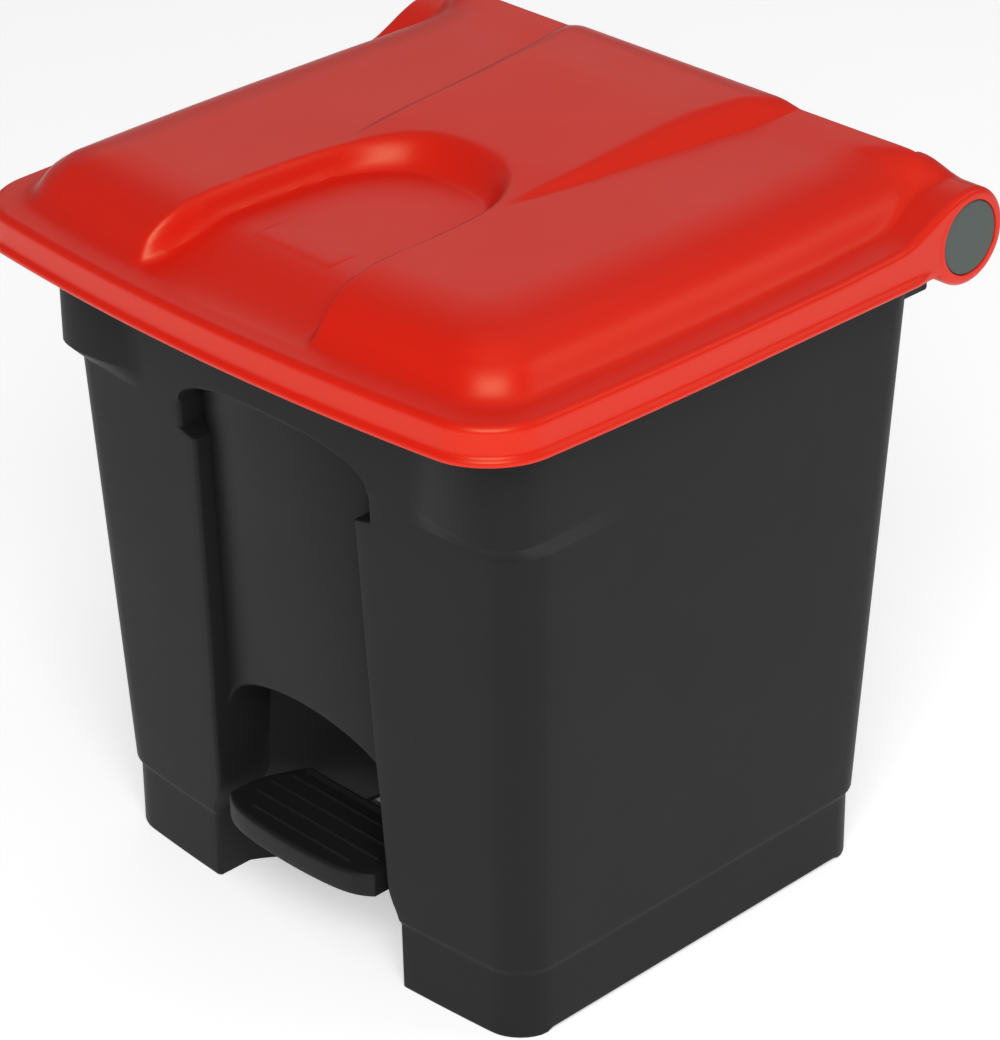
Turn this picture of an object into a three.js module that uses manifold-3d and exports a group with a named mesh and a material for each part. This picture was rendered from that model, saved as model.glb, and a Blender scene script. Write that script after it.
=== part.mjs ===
// Step-on pedal bin, about 30 litres: a tapered charcoal body with a foot niche in
// its front, a domed red lid on two corner hinges, and a pedal that lifts the lid
// through a lever under the floor and a rod behind the rear wall.
// Millimetres. +X to the bin's left-hand side seen from the back, -Y is the front,
// +Z is up. The origin is on the floor under the centre of the closed bin.
import * as THREE from 'three';
import { mergeVertices } from 'three/addons/utils/BufferGeometryUtils.js';
import Module from 'manifold-3d';

const wasm = await Module();
wasm.setup();

// ---------------------------------------------------------------- dimensions
const GAP = 0.3;                  // between pieces that touch
const WALL = 2.8;                 // moulded wall thickness

const PLINTH_H = 41.3;            // foot of the body, stepped in a little
const PLINTH = { hw: 158.4, yf: -120.4, yb: 143.2, r: 22, bowF: 8.8, bowS: 0 };
const BODY_LO_Z = 44.5;           // start of the drafted wall
const BODY_LO = { hw: 161.3, yf: -123.0, yb: 146.3, r: 22, bowF: 8.8, bowS: 0 };
const BODY_HI_Z = 323.4;
const BODY_HI = { hw: 174.1, yf: -135.9, yb: 159.1, r: 22, bowF: 8.8, bowS: 0 };
const RIM_IN = 13;                // rim lip stands this far inside the lid's edge
const RIM_Z0 = 366;               // underside of the rim flange starts here
const RIM_TOP = 390;              // top of the rim lip
const REAR_RIM_TOP = 374;         // the rim is lower at the back
const REAR_RIM_Y = 158;
const RIM_END_Y = 134;            // the side rims stop here, ahead of the hinge barrels

const FLOOR_Z = 80;               // top of the inside floor
const NICHE_BACK = -62;           // deepest line of the foot niche
const NICHE_R = 85;               // its hollow round back
const NICHE_ARCH = 146.5;         // crown of the arch
const NICHE_SIDE = 111;           // where the arch starts at each side
const PANEL_MID = [-130.9, -0.0794];   // front panel on the middle line: y at z 150, and its lean
const PANEL_SIDE = [-125.4, -0.0295];  // front panel beside the pillars: y at z 143, and its lean

const LID = { hw: 200, yf: -178.3, yb: 165, r: 34, bowF: 12.9, bowS: 5 };
const LID_Z0 = 374;               // lower edge of the lid
const LIP_TOP = 396;
const CROWN_Z = 424.3;            // flat of the crown
const WEDGE_Z = 435;              // highest line of the raised wedge
const TRAY_Z = 410.6;             // floor of the tongue-shaped hollow

const AXIS_Y = 165;               // lid hinge axis, along X
const AXIS_Z = 387.8;
const BARREL_R = 26.2;
const BARREL_X0 = 163.6;
const BARREL_X1 = 203.4;
const LUG_X0 = 138;
const LUG_X1 = 162.4;
const LUG_R = 14;
const PIN_R = 5;
const CAP_R = 20.2;

const ROD_Y = 141.7;              // push rod, vertical
const ROD_R = 3.5;
const CRANK_R = 29.4;             // crank pin's distance from the hinge axis
const CRANK_LOW_Z = 369.9;        // rod's upper pin with the lid closed
const ROD_PIN_LOW_Z = 22;         // rod's lower pin with the lid closed
const ROD_PIN_R = 3;

const PIVOT_Y = -20;              // pedal lever's axle
const PIVOT_Z = 40;
const AXLE_R = 4;
const TREAD_TOP = 65.7;
const TREAD_SKIRT = 14.2;
const TREAD_HW = 59;
const TREAD_FRONT = -144.4;
const TREAD_BACK = -86;
const RIB_Y = [-132.7, -121.0, -109.2, -97.5];

// ---------------------------------------------------------------- helpers
function solidOf(geometry) {
  const g = geometry.clone();
  g.deleteAttribute('normal');
  g.deleteAttribute('uv');
  const m = mergeVertices(g, 1e-4);
  return new wasm.Manifold(new wasm.Mesh({
    numProp: 3,
    vertProperties: new Float32Array(m.attributes.position.array),
    triVerts: new Uint32Array(m.index.array),
  }));
}
function geometryOf(solid) {
  const mesh = solid.getMesh();
  const g = new THREE.BufferGeometry();
  g.setAttribute('position', new THREE.BufferAttribute(new Float32Array(mesh.vertProperties), 3));
  g.setIndex(new THREE.BufferAttribute(new Uint32Array(mesh.triVerts), 1));
  g.computeVertexNormals();
  return g;
}
const union = (...s) => s.reduce((a, b) => a.add(b));
const cut = (a, ...s) => s.reduce((p, q) => p.subtract(q), a);

function box(x0, x1, y0, y1, z0, z1) {
  const g = new THREE.BoxGeometry(x1 - x0, y1 - y0, z1 - z0);
  g.translate((x0 + x1) / 2, (y0 + y1) / 2, (z0 + z1) / 2);
  return solidOf(g);
}
function cylX(r, x0, x1, y, z, n = 24) {
  const g = new THREE.CylinderGeometry(r, r, x1 - x0, n);
  g.rotateZ(Math.PI / 2);
  g.translate((x0 + x1) / 2, y, z);
  return solidOf(g);
}
function cylY(r, y0, y1, x, z, n = 24) {
  const g = new THREE.CylinderGeometry(r, r, y1 - y0, n);
  g.translate(x, (y0 + y1) / 2, z);
  return solidOf(g);
}
function cylZ(r, z0, z1, x, y, n = 24) {
  const g = new THREE.CylinderGeometry(r, r, z1 - z0, n);
  g.rotateX(Math.PI / 2);
  g.translate(x, y, (z0 + z1) / 2);
  return solidOf(g);
}
function shapeOf(points) {
  return new THREE.Shape(points.map((p) => new THREE.Vector2(p[0], p[1])));
}
// plan outline extruded up Z
function prismZ(points, z0, z1) {
  const g = new THREE.ExtrudeGeometry(shapeOf(points), { depth: z1 - z0, bevelEnabled: false });
  g.translate(0, 0, z0);
  return solidOf(g);
}
// front elevation (x, z) extruded along Y
function prismY(points, y0, y1) {
  const g = new THREE.ExtrudeGeometry(shapeOf(points), { depth: y1 - y0, bevelEnabled: false });
  g.rotateX(Math.PI / 2);
  g.translate(0, y1, 0);
  return solidOf(g);
}
// side elevation (y, z) extruded along X
function prismX(points, x0, x1) {
  const g = new THREE.ExtrudeGeometry(shapeOf(points), { depth: x1 - x0, bevelEnabled: false });
  g.rotateZ(Math.PI / 2);
  g.rotateY(Math.PI / 2);
  g.translate(x0, 0, 0);
  return solidOf(g);
}
// rounded rectangle whose front and sides bow outwards
function outline(o, inset = 0) {
  const hw = o.hw - inset, yf = o.yf + inset, yb = o.yb;
  const r = Math.max(o.r - inset * 0.35, 6), rb = Math.max(Math.min(r, o.rb ?? r), 3);
  const pts = [];
  const arc = (cx, cy, rad, a0, a1, n) => {
    for (let i = 0; i <= n; i++) {
      const a = a0 + ((a1 - a0) * i) / n;
      pts.push([cx + rad * Math.cos(a), cy + rad * Math.sin(a)]);
    }
  };
  const line = (x0, y0, x1, y1, n) => {
    for (let i = 1; i < n; i++) pts.push([x0 + ((x1 - x0) * i) / n, y0 + ((y1 - y0) * i) / n]);
  };
  arc(hw - r, yf + r, r, -Math.PI / 2, 0, 5);
  line(hw, yf + r, hw, yb - rb, 5);
  arc(hw - rb, yb - rb, rb, 0, Math.PI / 2, 4);
  arc(-hw + rb, yb - rb, rb, Math.PI / 2, Math.PI, 4);
  line(-hw, yb - rb, -hw, yf + r, 5);
  arc(-hw + r, yf + r, r, Math.PI, 1.5 * Math.PI, 5);
  line(-hw + r, yf, hw - r, yf, 8);
  const mid = (yf + yb) / 2;
  return pts.map(([x, y]) => {
    const front = y < mid ? o.bowF * Math.max(0, 1 - (x / hw) ** 2) * ((mid - y) / (mid - yf)) ** 2 : 0;
    const side = o.bowS * Math.max(0, 1 - ((y - mid) / (yb - mid)) ** 2) * (x / hw) ** 2;
    return [x + Math.sign(x) * side, y - front];
  });
}
// a solid through plan outlines at rising heights
function loft(levels) {
  const n = levels.length - 1;
  const g = new THREE.ExtrudeGeometry(shapeOf(levels[0].pts), { depth: n, steps: n, bevelEnabled: false });
  const key = (x, y) => `${x.toFixed(3)},${y.toFixed(3)}`;
  const index = new Map(levels[0].pts.map((p, i) => [key(p[0], p[1]), i]));
  const pos = g.attributes.position;
  for (let i = 0; i < pos.count; i++) {
    const k = Math.round(pos.getZ(i));
    const j = index.get(key(pos.getX(i), pos.getY(i)));
    const p = levels[k].pts[j];
    pos.setXYZ(i, p[0], p[1], p[2] ?? levels[k].z);
  }
  return solidOf(g);
}
const lerp = (a, b, t) => a + (b - a) * t;
const wallAt = (z) => {
  const t = (z - BODY_LO_Z) / (BODY_HI_Z - BODY_LO_Z);
  return {
    hw: lerp(BODY_LO.hw, BODY_HI.hw, t), yf: lerp(BODY_LO.yf, BODY_HI.yf, t),
    yb: lerp(BODY_LO.yb, BODY_HI.yb, t), r: BODY_LO.r, bowF: BODY_LO.bowF, bowS: 0,
  };
};
const inner = (o, t = WALL) => ({ ...o, yb: o.yb - t });

const material = {
  charcoal: () => new THREE.MeshStandardMaterial({ color: 0x363737, roughness: 0.5, metalness: 0 }),
  red: () => new THREE.MeshStandardMaterial({ color: 0xd6231b, roughness: 0.36, metalness: 0 }),
  grey: () => new THREE.MeshStandardMaterial({ color: 0x6a6b6b, roughness: 0.5, metalness: 0 }),
  steel: () => new THREE.MeshStandardMaterial({ color: 0xb4b6b8, roughness: 0.35, metalness: 1 }),
  bush: () => new THREE.MeshStandardMaterial({ color: 0xdedcd4, roughness: 0.5, metalness: 0 }),
  rubber: () => new THREE.MeshStandardMaterial({ color: 0x1f1f1f, roughness: 0.85, metalness: 0 }),
};
const bin = new THREE.Group();
function piece(name, solid, mat) {
  const mesh = new THREE.Mesh(geometryOf(solid), mat());
  mesh.name = name;
  bin.add(mesh);
  return mesh;
}

// ---------------------------------------------------------------- body shell
const rimOutline = { ...LID, hw: LID.hw - RIM_IN, yf: LID.yf + RIM_IN, yb: REAR_RIM_Y, r: 28, rb: 16 };
const bodyOuter = loft([
  { z: 0, pts: outline({ ...PLINTH, rb: 22 }) },
  { z: PLINTH_H, pts: outline({ ...PLINTH, rb: 22 }) },
  { z: BODY_LO_Z, pts: outline({ ...BODY_LO, rb: 22 }) },
  { z: BODY_HI_Z, pts: outline({ ...BODY_HI, rb: 22 }) },
  { z: 358, pts: outline({ ...wallAt(358), rb: 20 }) },
  { z: RIM_Z0, pts: outline({ ...wallAt(RIM_Z0), yb: REAR_RIM_Y, rb: 16 }) },
  { z: RIM_Z0 + 4, pts: outline(rimOutline) },
  { z: RIM_TOP, pts: outline(rimOutline) },
]);
const cavity = loft([
  { z: FLOOR_Z, pts: outline(inner({ ...wallAt(FLOOR_Z), rb: 20 }), WALL) },
  { z: BODY_HI_Z, pts: outline(inner({ ...wallAt(BODY_HI_Z), rb: 20 }), WALL) },
  { z: RIM_Z0 + 1, pts: outline({ ...wallAt(RIM_Z0), yb: REAR_RIM_Y - WALL, rb: 14 }, WALL) },
  { z: RIM_Z0 + 7, pts: outline({ ...rimOutline, yb: REAR_RIM_Y - WALL, rb: 14 }, WALL) },
  { z: RIM_TOP + 2, pts: outline({ ...rimOutline, yb: REAR_RIM_Y - WALL, rb: 14 }, WALL) },
]);
const underFloor = loft([
  { z: -1, pts: outline(inner({ ...PLINTH, rb: 20 }), WALL) },
  { z: PLINTH_H - 1, pts: outline(inner({ ...PLINTH, rb: 20 }), WALL) },
  { z: FLOOR_Z - WALL, pts: outline(inner({ ...wallAt(FLOOR_Z - WALL), rb: 20 }), WALL) },
]);

// foot niche: an arch in the front, hollow and round at the back, open to the floor
function niche(t) {
  const w = t;
  const elev = [[-75 - w, -2], [75 + w, -2], [74 + w, 46], [67.8 + w, 60], [66.3 + w, NICHE_SIDE + w * 0.6]];
  const arch = 8;
  for (let i = 1; i < arch; i++) {
    const x = (66.3 + w) * Math.cos((Math.PI * i) / arch);
    elev.push([x, NICHE_SIDE + w * 0.6 + (NICHE_ARCH - NICHE_SIDE + w * 0.4) * Math.sin((Math.PI * i) / arch)]);
  }
  elev.push([-66.3 - w, NICHE_SIDE + w * 0.6], [-67.8 - w, 60], [-74 - w, 46]);
  const plan = [[-90, -170], [90, -170]];
  const r = NICHE_R + t, back = NICHE_BACK + t;
  for (let i = 0; i <= 10; i++) {
    const x = 82 - 16.4 * i;
    plan.push([x, back - (r - Math.sqrt(Math.max(r * r - x * x, 0)))]);
  }
  return prismY(elev, -170, -20).intersect(prismZ(plan, -2, 200));
}
// front panel between the two pillars: flush in the middle, deep beside the pillars
function frontRecess(t) {
  const elev = [[-66.3 - t, 104], [66.3 + t, 104], [61.3 + t, 288 - t], [72.5 + t, 290 - t], [72.5 + t, 306 + t * 0.5]];
  for (let i = 1; i < 8; i++) {
    const a = (Math.PI * i) / 8;
    elev.push([(72.5 + t) * Math.cos(a), 306 + t * 0.5 + (20 + t * 0.5) * Math.sin(a)]);
  }
  elev.push([-72.5 - t, 306 + t * 0.5], [-72.5 - t, 290 - t], [-61.3 - t, 288 - t]);
  const plan = [[-80, -175], [80, -175]];
  for (let i = 0; i <= 12; i++) plan.push([80 - (160 * i) / 12, -100]);
  const g = new THREE.ExtrudeGeometry(shapeOf(plan), { depth: 236, bevelEnabled: false });
  g.translate(0, 0, 99);
  const pos = g.attributes.position;
  for (let i = 0; i < pos.count; i++) {
    if (pos.getY(i) < -150) continue;
    const z = pos.getZ(i);
    const mid = PANEL_MID[0] + PANEL_MID[1] * (z - 150), side = PANEL_SIDE[0] + PANEL_SIDE[1] * (z - 143);
    pos.setY(i, mid + (side - mid) * Math.min(Math.abs(pos.getX(i)) / 66, 1.1) ** 2.6 + t);
  }
  return solidOf(g).intersect(prismY(elev, -200, -60));
}
// corner shoulders near the top of the front
function shoulder(side) {
  const plan = [[112, -142.2], [150, -148.5], [166, -146], [175.6, -136], [177.4, -124], [176.4, -80], [150, -80], [112, -120]]
    .map(([x, y]) => [side * x, y]);
  if (side < 0) plan.reverse();
  const lower = plan.map(([x, y]) => [x * 0.965, y < -100 ? y + 8 : y]);
  return loft([
    { z: 300, pts: lower },
    { z: 310, pts: plan },
    { z: 360, pts: plan },
  ]);
}
const hingeZone = (r) => union(
  cylX(r, -260, -LUG_X1, AXIS_Y, AXIS_Z, 40),
  cylX(r, LUG_X1, 260, AXIS_Y, AXIS_Z, 40),
);
// channel for the push rod: a box rib on the rear wall, closed inside by a cover
const ROD_BAY = { x: 19, y0: 132.5, y1: 157.4, top: 352 };
const rodBayBlock = box(-ROD_BAY.x - 2.4, ROD_BAY.x + 2.4, ROD_BAY.y0, ROD_BAY.y1 + WALL, FLOOR_Z - 1, ROD_BAY.top);
const coverScrewZ = [120, 320];
const axleBossX = [-40, 40];
const bodyInnerMass = union(
  niche(WALL), frontRecess(WALL), rodBayBlock,
  ...coverScrewZ.flatMap((z) => [
    box(-ROD_BAY.x - 12, -ROD_BAY.x - 1, ROD_BAY.y0, 160, z - 6, z + 6),
    box(ROD_BAY.x + 1, ROD_BAY.x + 12, ROD_BAY.y0, 160, z - 6, z + 6),
  ]),
);
let body = cut(
  union(bodyOuter, shoulder(1), shoulder(-1),
    prismZ([[-23, 120], [23, 120], [22, ROD_BAY.y1 + WALL - 2], [20, ROD_BAY.y1 + WALL], [-20, ROD_BAY.y1 + WALL], [-22, ROD_BAY.y1 + WALL - 2]], 0, RIM_Z0),
    box(-172.5, 172.5, 150, 169, 347, 356),
    box(-172.5, 172.5, 150, 174.5, 352, 360)),
  cut(cavity, bodyInnerMass, hingeZone(BARREL_R + 1 + WALL)),
  cut(underFloor, niche(WALL)),
  box(-ROD_BAY.x, ROD_BAY.x, ROD_BAY.y0, ROD_BAY.y1, -1, RIM_TOP + 5),
  hingeZone(BARREL_R + 1),
  niche(0), frontRecess(0),
  box(-LUG_X1 - 1, LUG_X1 + 1, 140, 200, REAR_RIM_TOP, RIM_TOP + 5),
  box(LUG_X1, 230, RIM_END_Y, 200, RIM_Z0, RIM_TOP + 5),
  box(-230, -LUG_X1, RIM_END_Y, 200, RIM_Z0, RIM_TOP + 5),
);
// lugs that carry the lid's hinge pins
for (const s of [-1, 1]) {
  const prof = [[150, 350], [174.5, 350], [AXIS_Y + LUG_R, AXIS_Z]];
  for (let i = 1; i < 10; i++) {
    const a = (Math.PI * i) / 10;
    prof.push([AXIS_Y + LUG_R * Math.cos(a), AXIS_Z + LUG_R * Math.sin(a)]);
  }
  prof.push([AXIS_Y - LUG_R, AXIS_Z], [154.5, 372], [150, 366]);
  const x0 = s > 0 ? LUG_X0 : -LUG_X1, x1 = s > 0 ? LUG_X1 : -LUG_X0;
  body = body.add(prismX(prof, x0, x1));
  body = body.subtract(cylX(8.3, x0 - 1, x1 + 1, AXIS_Y, AXIS_Z, 24));
}
// lever slot in the niche's back and bosses for the axle hangers
body = cut(body,
  box(-13, 13, -75, -50, 26, 63),
);
const bossTop = FLOOR_Z - WALL + 1;
for (const x of axleBossX) for (const y of [PIVOT_Y - 15, PIVOT_Y + 15]) {
  body = body.add(box(x - 6, x + 6, y - 5, y + 5, 60, bossTop)).subtract(cylZ(1.7, 55, 74, x, y, 12));
}
for (const z of coverScrewZ) for (const s of [-1, 1]) {
  body = body.subtract(cylY(1.7, ROD_BAY.y0 - 1, ROD_BAY.y0 + 14, s * (ROD_BAY.x + 6.5), z, 12));
}
piece('body_shell', body, material.charcoal);

// ---------------------------------------------------------------- lid shell
const lidLevels = (d) => [
  { z: LID_Z0 - (d ? 2 : 0), inset: 0 + d },
  { z: LID_Z0 + 3.5, inset: 0.2 + d },
  { z: LID_Z0 + 6, inset: 2 + d },
  { z: 389.5, inset: 2.6 + d },
  { z: 394.5 - d * 0.6, inset: 5 + d },
  { z: LIP_TOP - d * 0.9, inset: 10 + d },
  { z: LIP_TOP + 1 - d, inset: 18 + d * 0.8 },
  { z: 407 - d * 0.8, inset: 24 + d * 0.8 },
  { z: 416 - d * 0.9, inset: 32 + d * 0.8 },
  { z: 422 - d, inset: 42 + d * 0.8 },
  { z: CROWN_Z - d, inset: 54 + d * 0.8 },
].map((l, i) => ({
  z: l.z,
  pts: outline({ ...LID, rb: 20, yb: LID.yb - d - (i > 8 ? (i - 8) * 4 : 0) }, l.inset),
}));
const lidOuter = loft(lidLevels(0));
const lidInner = loft(lidLevels(WALL));
// tongue-shaped hollow in the crown, open to the front
function tray(t) {
  const half = [[73 + t, -215], [74 + t, -136], [74 + t, -90], [69 + t, -52], [56 + t, -20], [36 + t, 4 + t], [14, 14 + t]];
  const plan = [...half, ...half.map(([x, y]) => [-x, y]).reverse()];
  const side = [[-220, 396.6 - t], [-166, 398 - t], [-152, 402 - t], [-132, TRAY_Z - t], [40, TRAY_Z + 1.5 - t], [40, 450], [-220, 450]];
  return prismZ(plan, 380, 450).intersect(prismX(side, -100, 100));
}
// raised wedge that widens to the back
const wedgePlan = [[60, -36], [70, 40], [80, 112], [87, 158], [-87, 158], [-80, 112], [-70, 40], [-60, -36]];
const wedgeTop = [[56, -33, 424.6], [57, 40, 431], [64, 110, WEDGE_Z], [74, 148, 431.5],
  [-74, 148, 431.5], [-64, 110, WEDGE_Z], [-57, 40, 431], [-56, -33, 424.6]];
const wedge = loft([{ z: 418, pts: wedgePlan.map(([x, y]) => [x * 0.97, y - 2]) }, { z: CROWN_Z, pts: wedgePlan }, { z: WEDGE_Z, pts: wedgeTop }]);
const wedgeHollow = loft([
  { z: 410, pts: wedgePlan.map(([x, y]) => [x * 0.9, Math.min(Math.max(y, -10), 146)]) },
  { z: CROWN_Z - WALL, pts: wedgePlan.map(([x, y]) => [x * 0.9, Math.min(Math.max(y, -10), 146)]) },
  { z: WEDGE_Z - WALL, pts: wedgeTop.map(([x, y, z]) => [x * 0.9, Math.min(Math.max(y, -6), 140), z - WALL - (y < 0 ? 1 : 0)]) },
]);
const barrels = union(
  cylX(BARREL_R, BARREL_X0, BARREL_X1 - 1.6, AXIS_Y, AXIS_Z, 40),
  cylX(BARREL_R - 1.4, BARREL_X0, BARREL_X1, AXIS_Y, AXIS_Z, 40),
  cylX(BARREL_R, -BARREL_X1 + 1.6, -BARREL_X0, AXIS_Y, AXIS_Z, 40),
  cylX(BARREL_R - 1.4, -BARREL_X1, -BARREL_X0, AXIS_Y, AXIS_Z, 40),
);
const barrelCheeks = union(
  prismX([[139.5, 376], [152, 374], [AXIS_Y, AXIS_Z], [AXIS_Y, 412], [140, 402]], BARREL_X0, 198.5),
  prismX([[139.5, 376], [152, 374], [AXIS_Y, AXIS_Z], [AXIS_Y, 412], [140, 402]], -198.5, -BARREL_X0),
);
let lid = cut(
  union(lidOuter, wedge, barrels, barrelCheeks),
  tray(0),
  cut(lidInner.add(wedgeHollow), tray(WALL), barrels, box(BARREL_X0, 210, 140, 200, 360, 412), box(-210, -BARREL_X0, 140, 200, 360, 412)),
);
lid = cut(lid,
  box(-BARREL_X0 + GAP, BARREL_X0 - GAP, 145, 200, 360, 388),      // open at the back under the rear wall
  box(LUG_X0 - 8, BARREL_X0 - 0.1, 145, 200, 360, 405),             // room for the lugs
  box(-BARREL_X0 + 0.1, -LUG_X0 + 8, 145, 200, 360, 405),
  // hollow barrels: pin bore in the inner end wall, wide recess behind the cap
  cylX(PIN_R + GAP, BARREL_X0 - 2, BARREL_X1 + 1, AXIS_Y, AXIS_Z, 24),
  cylX(PIN_R + GAP, -BARREL_X1 - 1, -BARREL_X0 + 2, AXIS_Y, AXIS_Z, 24),
  cylX(CAP_R + GAP, BARREL_X0 + 7, BARREL_X1 + 1, AXIS_Y, AXIS_Z, 40),
  cylX(CAP_R + GAP, -BARREL_X1 - 1, -BARREL_X0 - 7, AXIS_Y, AXIS_Z, 40),
);
// seat and screw bosses for the crank under the lid's rear
lid = lid.add(box(-26, 26, 128, 158, 418, 424));
lid = lid.subtract(cylZ(1.7, 412, 423, -18, 140, 12)).subtract(cylZ(1.7, 412, 423, 18, 140, 12));
piece('lid_shell', lid, material.red);

// ---------------------------------------------------------------- hinge pins, bushes, caps
for (const [side, s] of [['right', 1], ['left', -1]]) {
  const span = (a, b) => (s > 0 ? [a, b] : [-b, -a]);
  const cx = (r, a, b, n = 24) => cylX(r, ...span(a, b), AXIS_Y, AXIS_Z, n);
  piece(`hinge_pin_${side}`, union(cx(PIN_R, LUG_X0 - 4, BARREL_X1 - 5.5), cx(7.6, LUG_X0 - 6.5, LUG_X0 - 3.9)), material.steel);
  piece(`hinge_bush_${side}`, cut(
    union(cx(8, LUG_X0 - 0.9, LUG_X1), cx(10.5, LUG_X0 - 2.4, LUG_X0 - GAP)),
    cx(PIN_R + GAP, LUG_X0 - 5, LUG_X1 + 2)), material.bush);
  piece(`hinge_cap_${side}`, cut(
    union(cx(CAP_R, BARREL_X1 - 3.6, BARREL_X1 - 0.4, 40), cx(9, BARREL_X1 - 14, BARREL_X1 - 3)),
    cx(PIN_R + GAP, BARREL_X1 - 15, BARREL_X1 - 5.2)), material.grey);
}

// ---------------------------------------------------------------- pedal
// tread: bowed front, cheeks that narrow to the back, turned-down skirt, grip ribs
function treadPlan(inset) {
  const pts = [];
  const hw = TREAD_HW - inset, back = TREAD_BACK - inset;
  const n = 10;
  for (let i = 0; i <= n; i++) {                       // bowed front edge with round corners
    const x = -hw + (2 * hw * i) / n;
    const u = Math.abs(x) / hw;
    pts.push([x, TREAD_FRONT + inset + 12 * u ** 2 + 10 * u ** 8]);
  }
  pts.push([hw - 1, TREAD_FRONT + 34], [hw - 11, back], [-hw + 11, back], [-hw + 1, TREAD_FRONT + 34]);
  return pts;
}
let tread = cut(
  prismZ(treadPlan(0), TREAD_TOP - TREAD_SKIRT, TREAD_TOP),
  prismZ(treadPlan(2.6), TREAD_TOP - TREAD_SKIRT - 1, TREAD_TOP - 3),
);
RIB_Y.forEach((y, i) => {
  const half = [40, 50, 51, 48][i];
  tread = tread.add(box(-half, half, y - 0.9, y + 0.9, TREAD_TOP - 1, TREAD_TOP + 1.2));
});
tread = union(tread, box(-44, 44, TREAD_BACK - 2.4, TREAD_BACK, TREAD_TOP - 1, TREAD_TOP + 2.4),
  box(-12, 12, -128, TREAD_BACK - 1, TREAD_TOP - 6, TREAD_TOP - 2));
tread = tread.subtract(box(-9.5, 9.5, -93, -80, 40, 60.2));
for (const y of [-122, -98]) tread = tread.subtract(cylZ(1.7, 50, TREAD_TOP - 3.2, 0, y, 12));
piece('pedal_tread', tread, material.charcoal);

// lever: a flat bar from under the tread, over the axle, to the push rod's lower pin
const leverTop = (y) => (y < PIVOT_Y ? lerp(PIVOT_Z + 8, TREAD_TOP - 6.3, (PIVOT_Y - y) / (PIVOT_Y + 90)) : lerp(PIVOT_Z + 8, ROD_PIN_LOW_Z + 7, (y - PIVOT_Y) / (ROD_Y - PIVOT_Y)));
const leverProfile = [
  [-130, TREAD_TOP - 10.3], [-92, TREAD_TOP - 10.3], [-84, 44], [PIVOT_Y - 14, 32], [PIVOT_Y, 29.5], [PIVOT_Y + 14, 30],
  [ROD_Y - 16, ROD_PIN_LOW_Z - 5.6], [ROD_Y + 2, ROD_PIN_LOW_Z - 7.5], [ROD_Y + 9, ROD_PIN_LOW_Z - 4], [ROD_Y + 9, ROD_PIN_LOW_Z + 4],
  [ROD_Y + 2, ROD_PIN_LOW_Z + 7.5], [ROD_Y - 16, ROD_PIN_LOW_Z + 9],
  [PIVOT_Y + 12, 50.5], [PIVOT_Y - 12, 52], [-84, TREAD_TOP - 6.3], [-130, TREAD_TOP - 6.3],
];
const leverWeb = prismX(leverProfile, 4.6, 7.6);
const leverWeb2 = prismX(leverProfile, -7.6, -4.6);
const leverPad = box(-11, 11, -130, -89, TREAD_TOP - 9.3, TREAD_TOP - 6.3);
const leverSpacer = union(
  box(-7, 7, -89.5, -70, 50, 54),
  cylX(9, -7.6, 7.6, PIVOT_Y, PIVOT_Z, 24),
  box(-7, 7, 50, 56, 33, 37),
);
let lever = union(leverWeb, leverWeb2, leverPad, leverSpacer);
const pinSlot = union(
  cylX(ROD_PIN_R + 0.8, -12, 12, ROD_Y - 1.6, ROD_PIN_LOW_Z, 24),
  cylX(ROD_PIN_R + 0.8, -12, 12, ROD_Y + 1.2, ROD_PIN_LOW_Z, 24),
  box(-12, 12, ROD_Y - 1.6, ROD_Y + 1.2, ROD_PIN_LOW_Z - ROD_PIN_R - 0.78, ROD_PIN_LOW_Z + ROD_PIN_R + 0.78),
);
lever = cut(lever, cylX(AXLE_R + GAP, -12, 12, PIVOT_Y, PIVOT_Z, 24), pinSlot,
  cylZ(2.3, 50, 62, 0, -122, 16), cylZ(2.3, 50, 62, 0, -98, 16));
piece('pedal_lever', lever, material.steel);

function screwUp(r, z0, z1, headR, headH, x, y) {       // head below, shank up
  return union(cylZ(headR, z0 - headH, z0 + 0.01, x, y, 12), cylZ(r, z0 - 0.5, z1, x, y, 8));
}
piece('tread_screw_front', screwUp(1.4, TREAD_TOP - 9.6, TREAD_TOP - 3.6, 3.6, 2, 0, -122), material.steel);
piece('tread_screw_rear', screwUp(1.4, TREAD_TOP - 9.6, TREAD_TOP - 3.6, 3.6, 2, 0, -98), material.steel);

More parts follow.
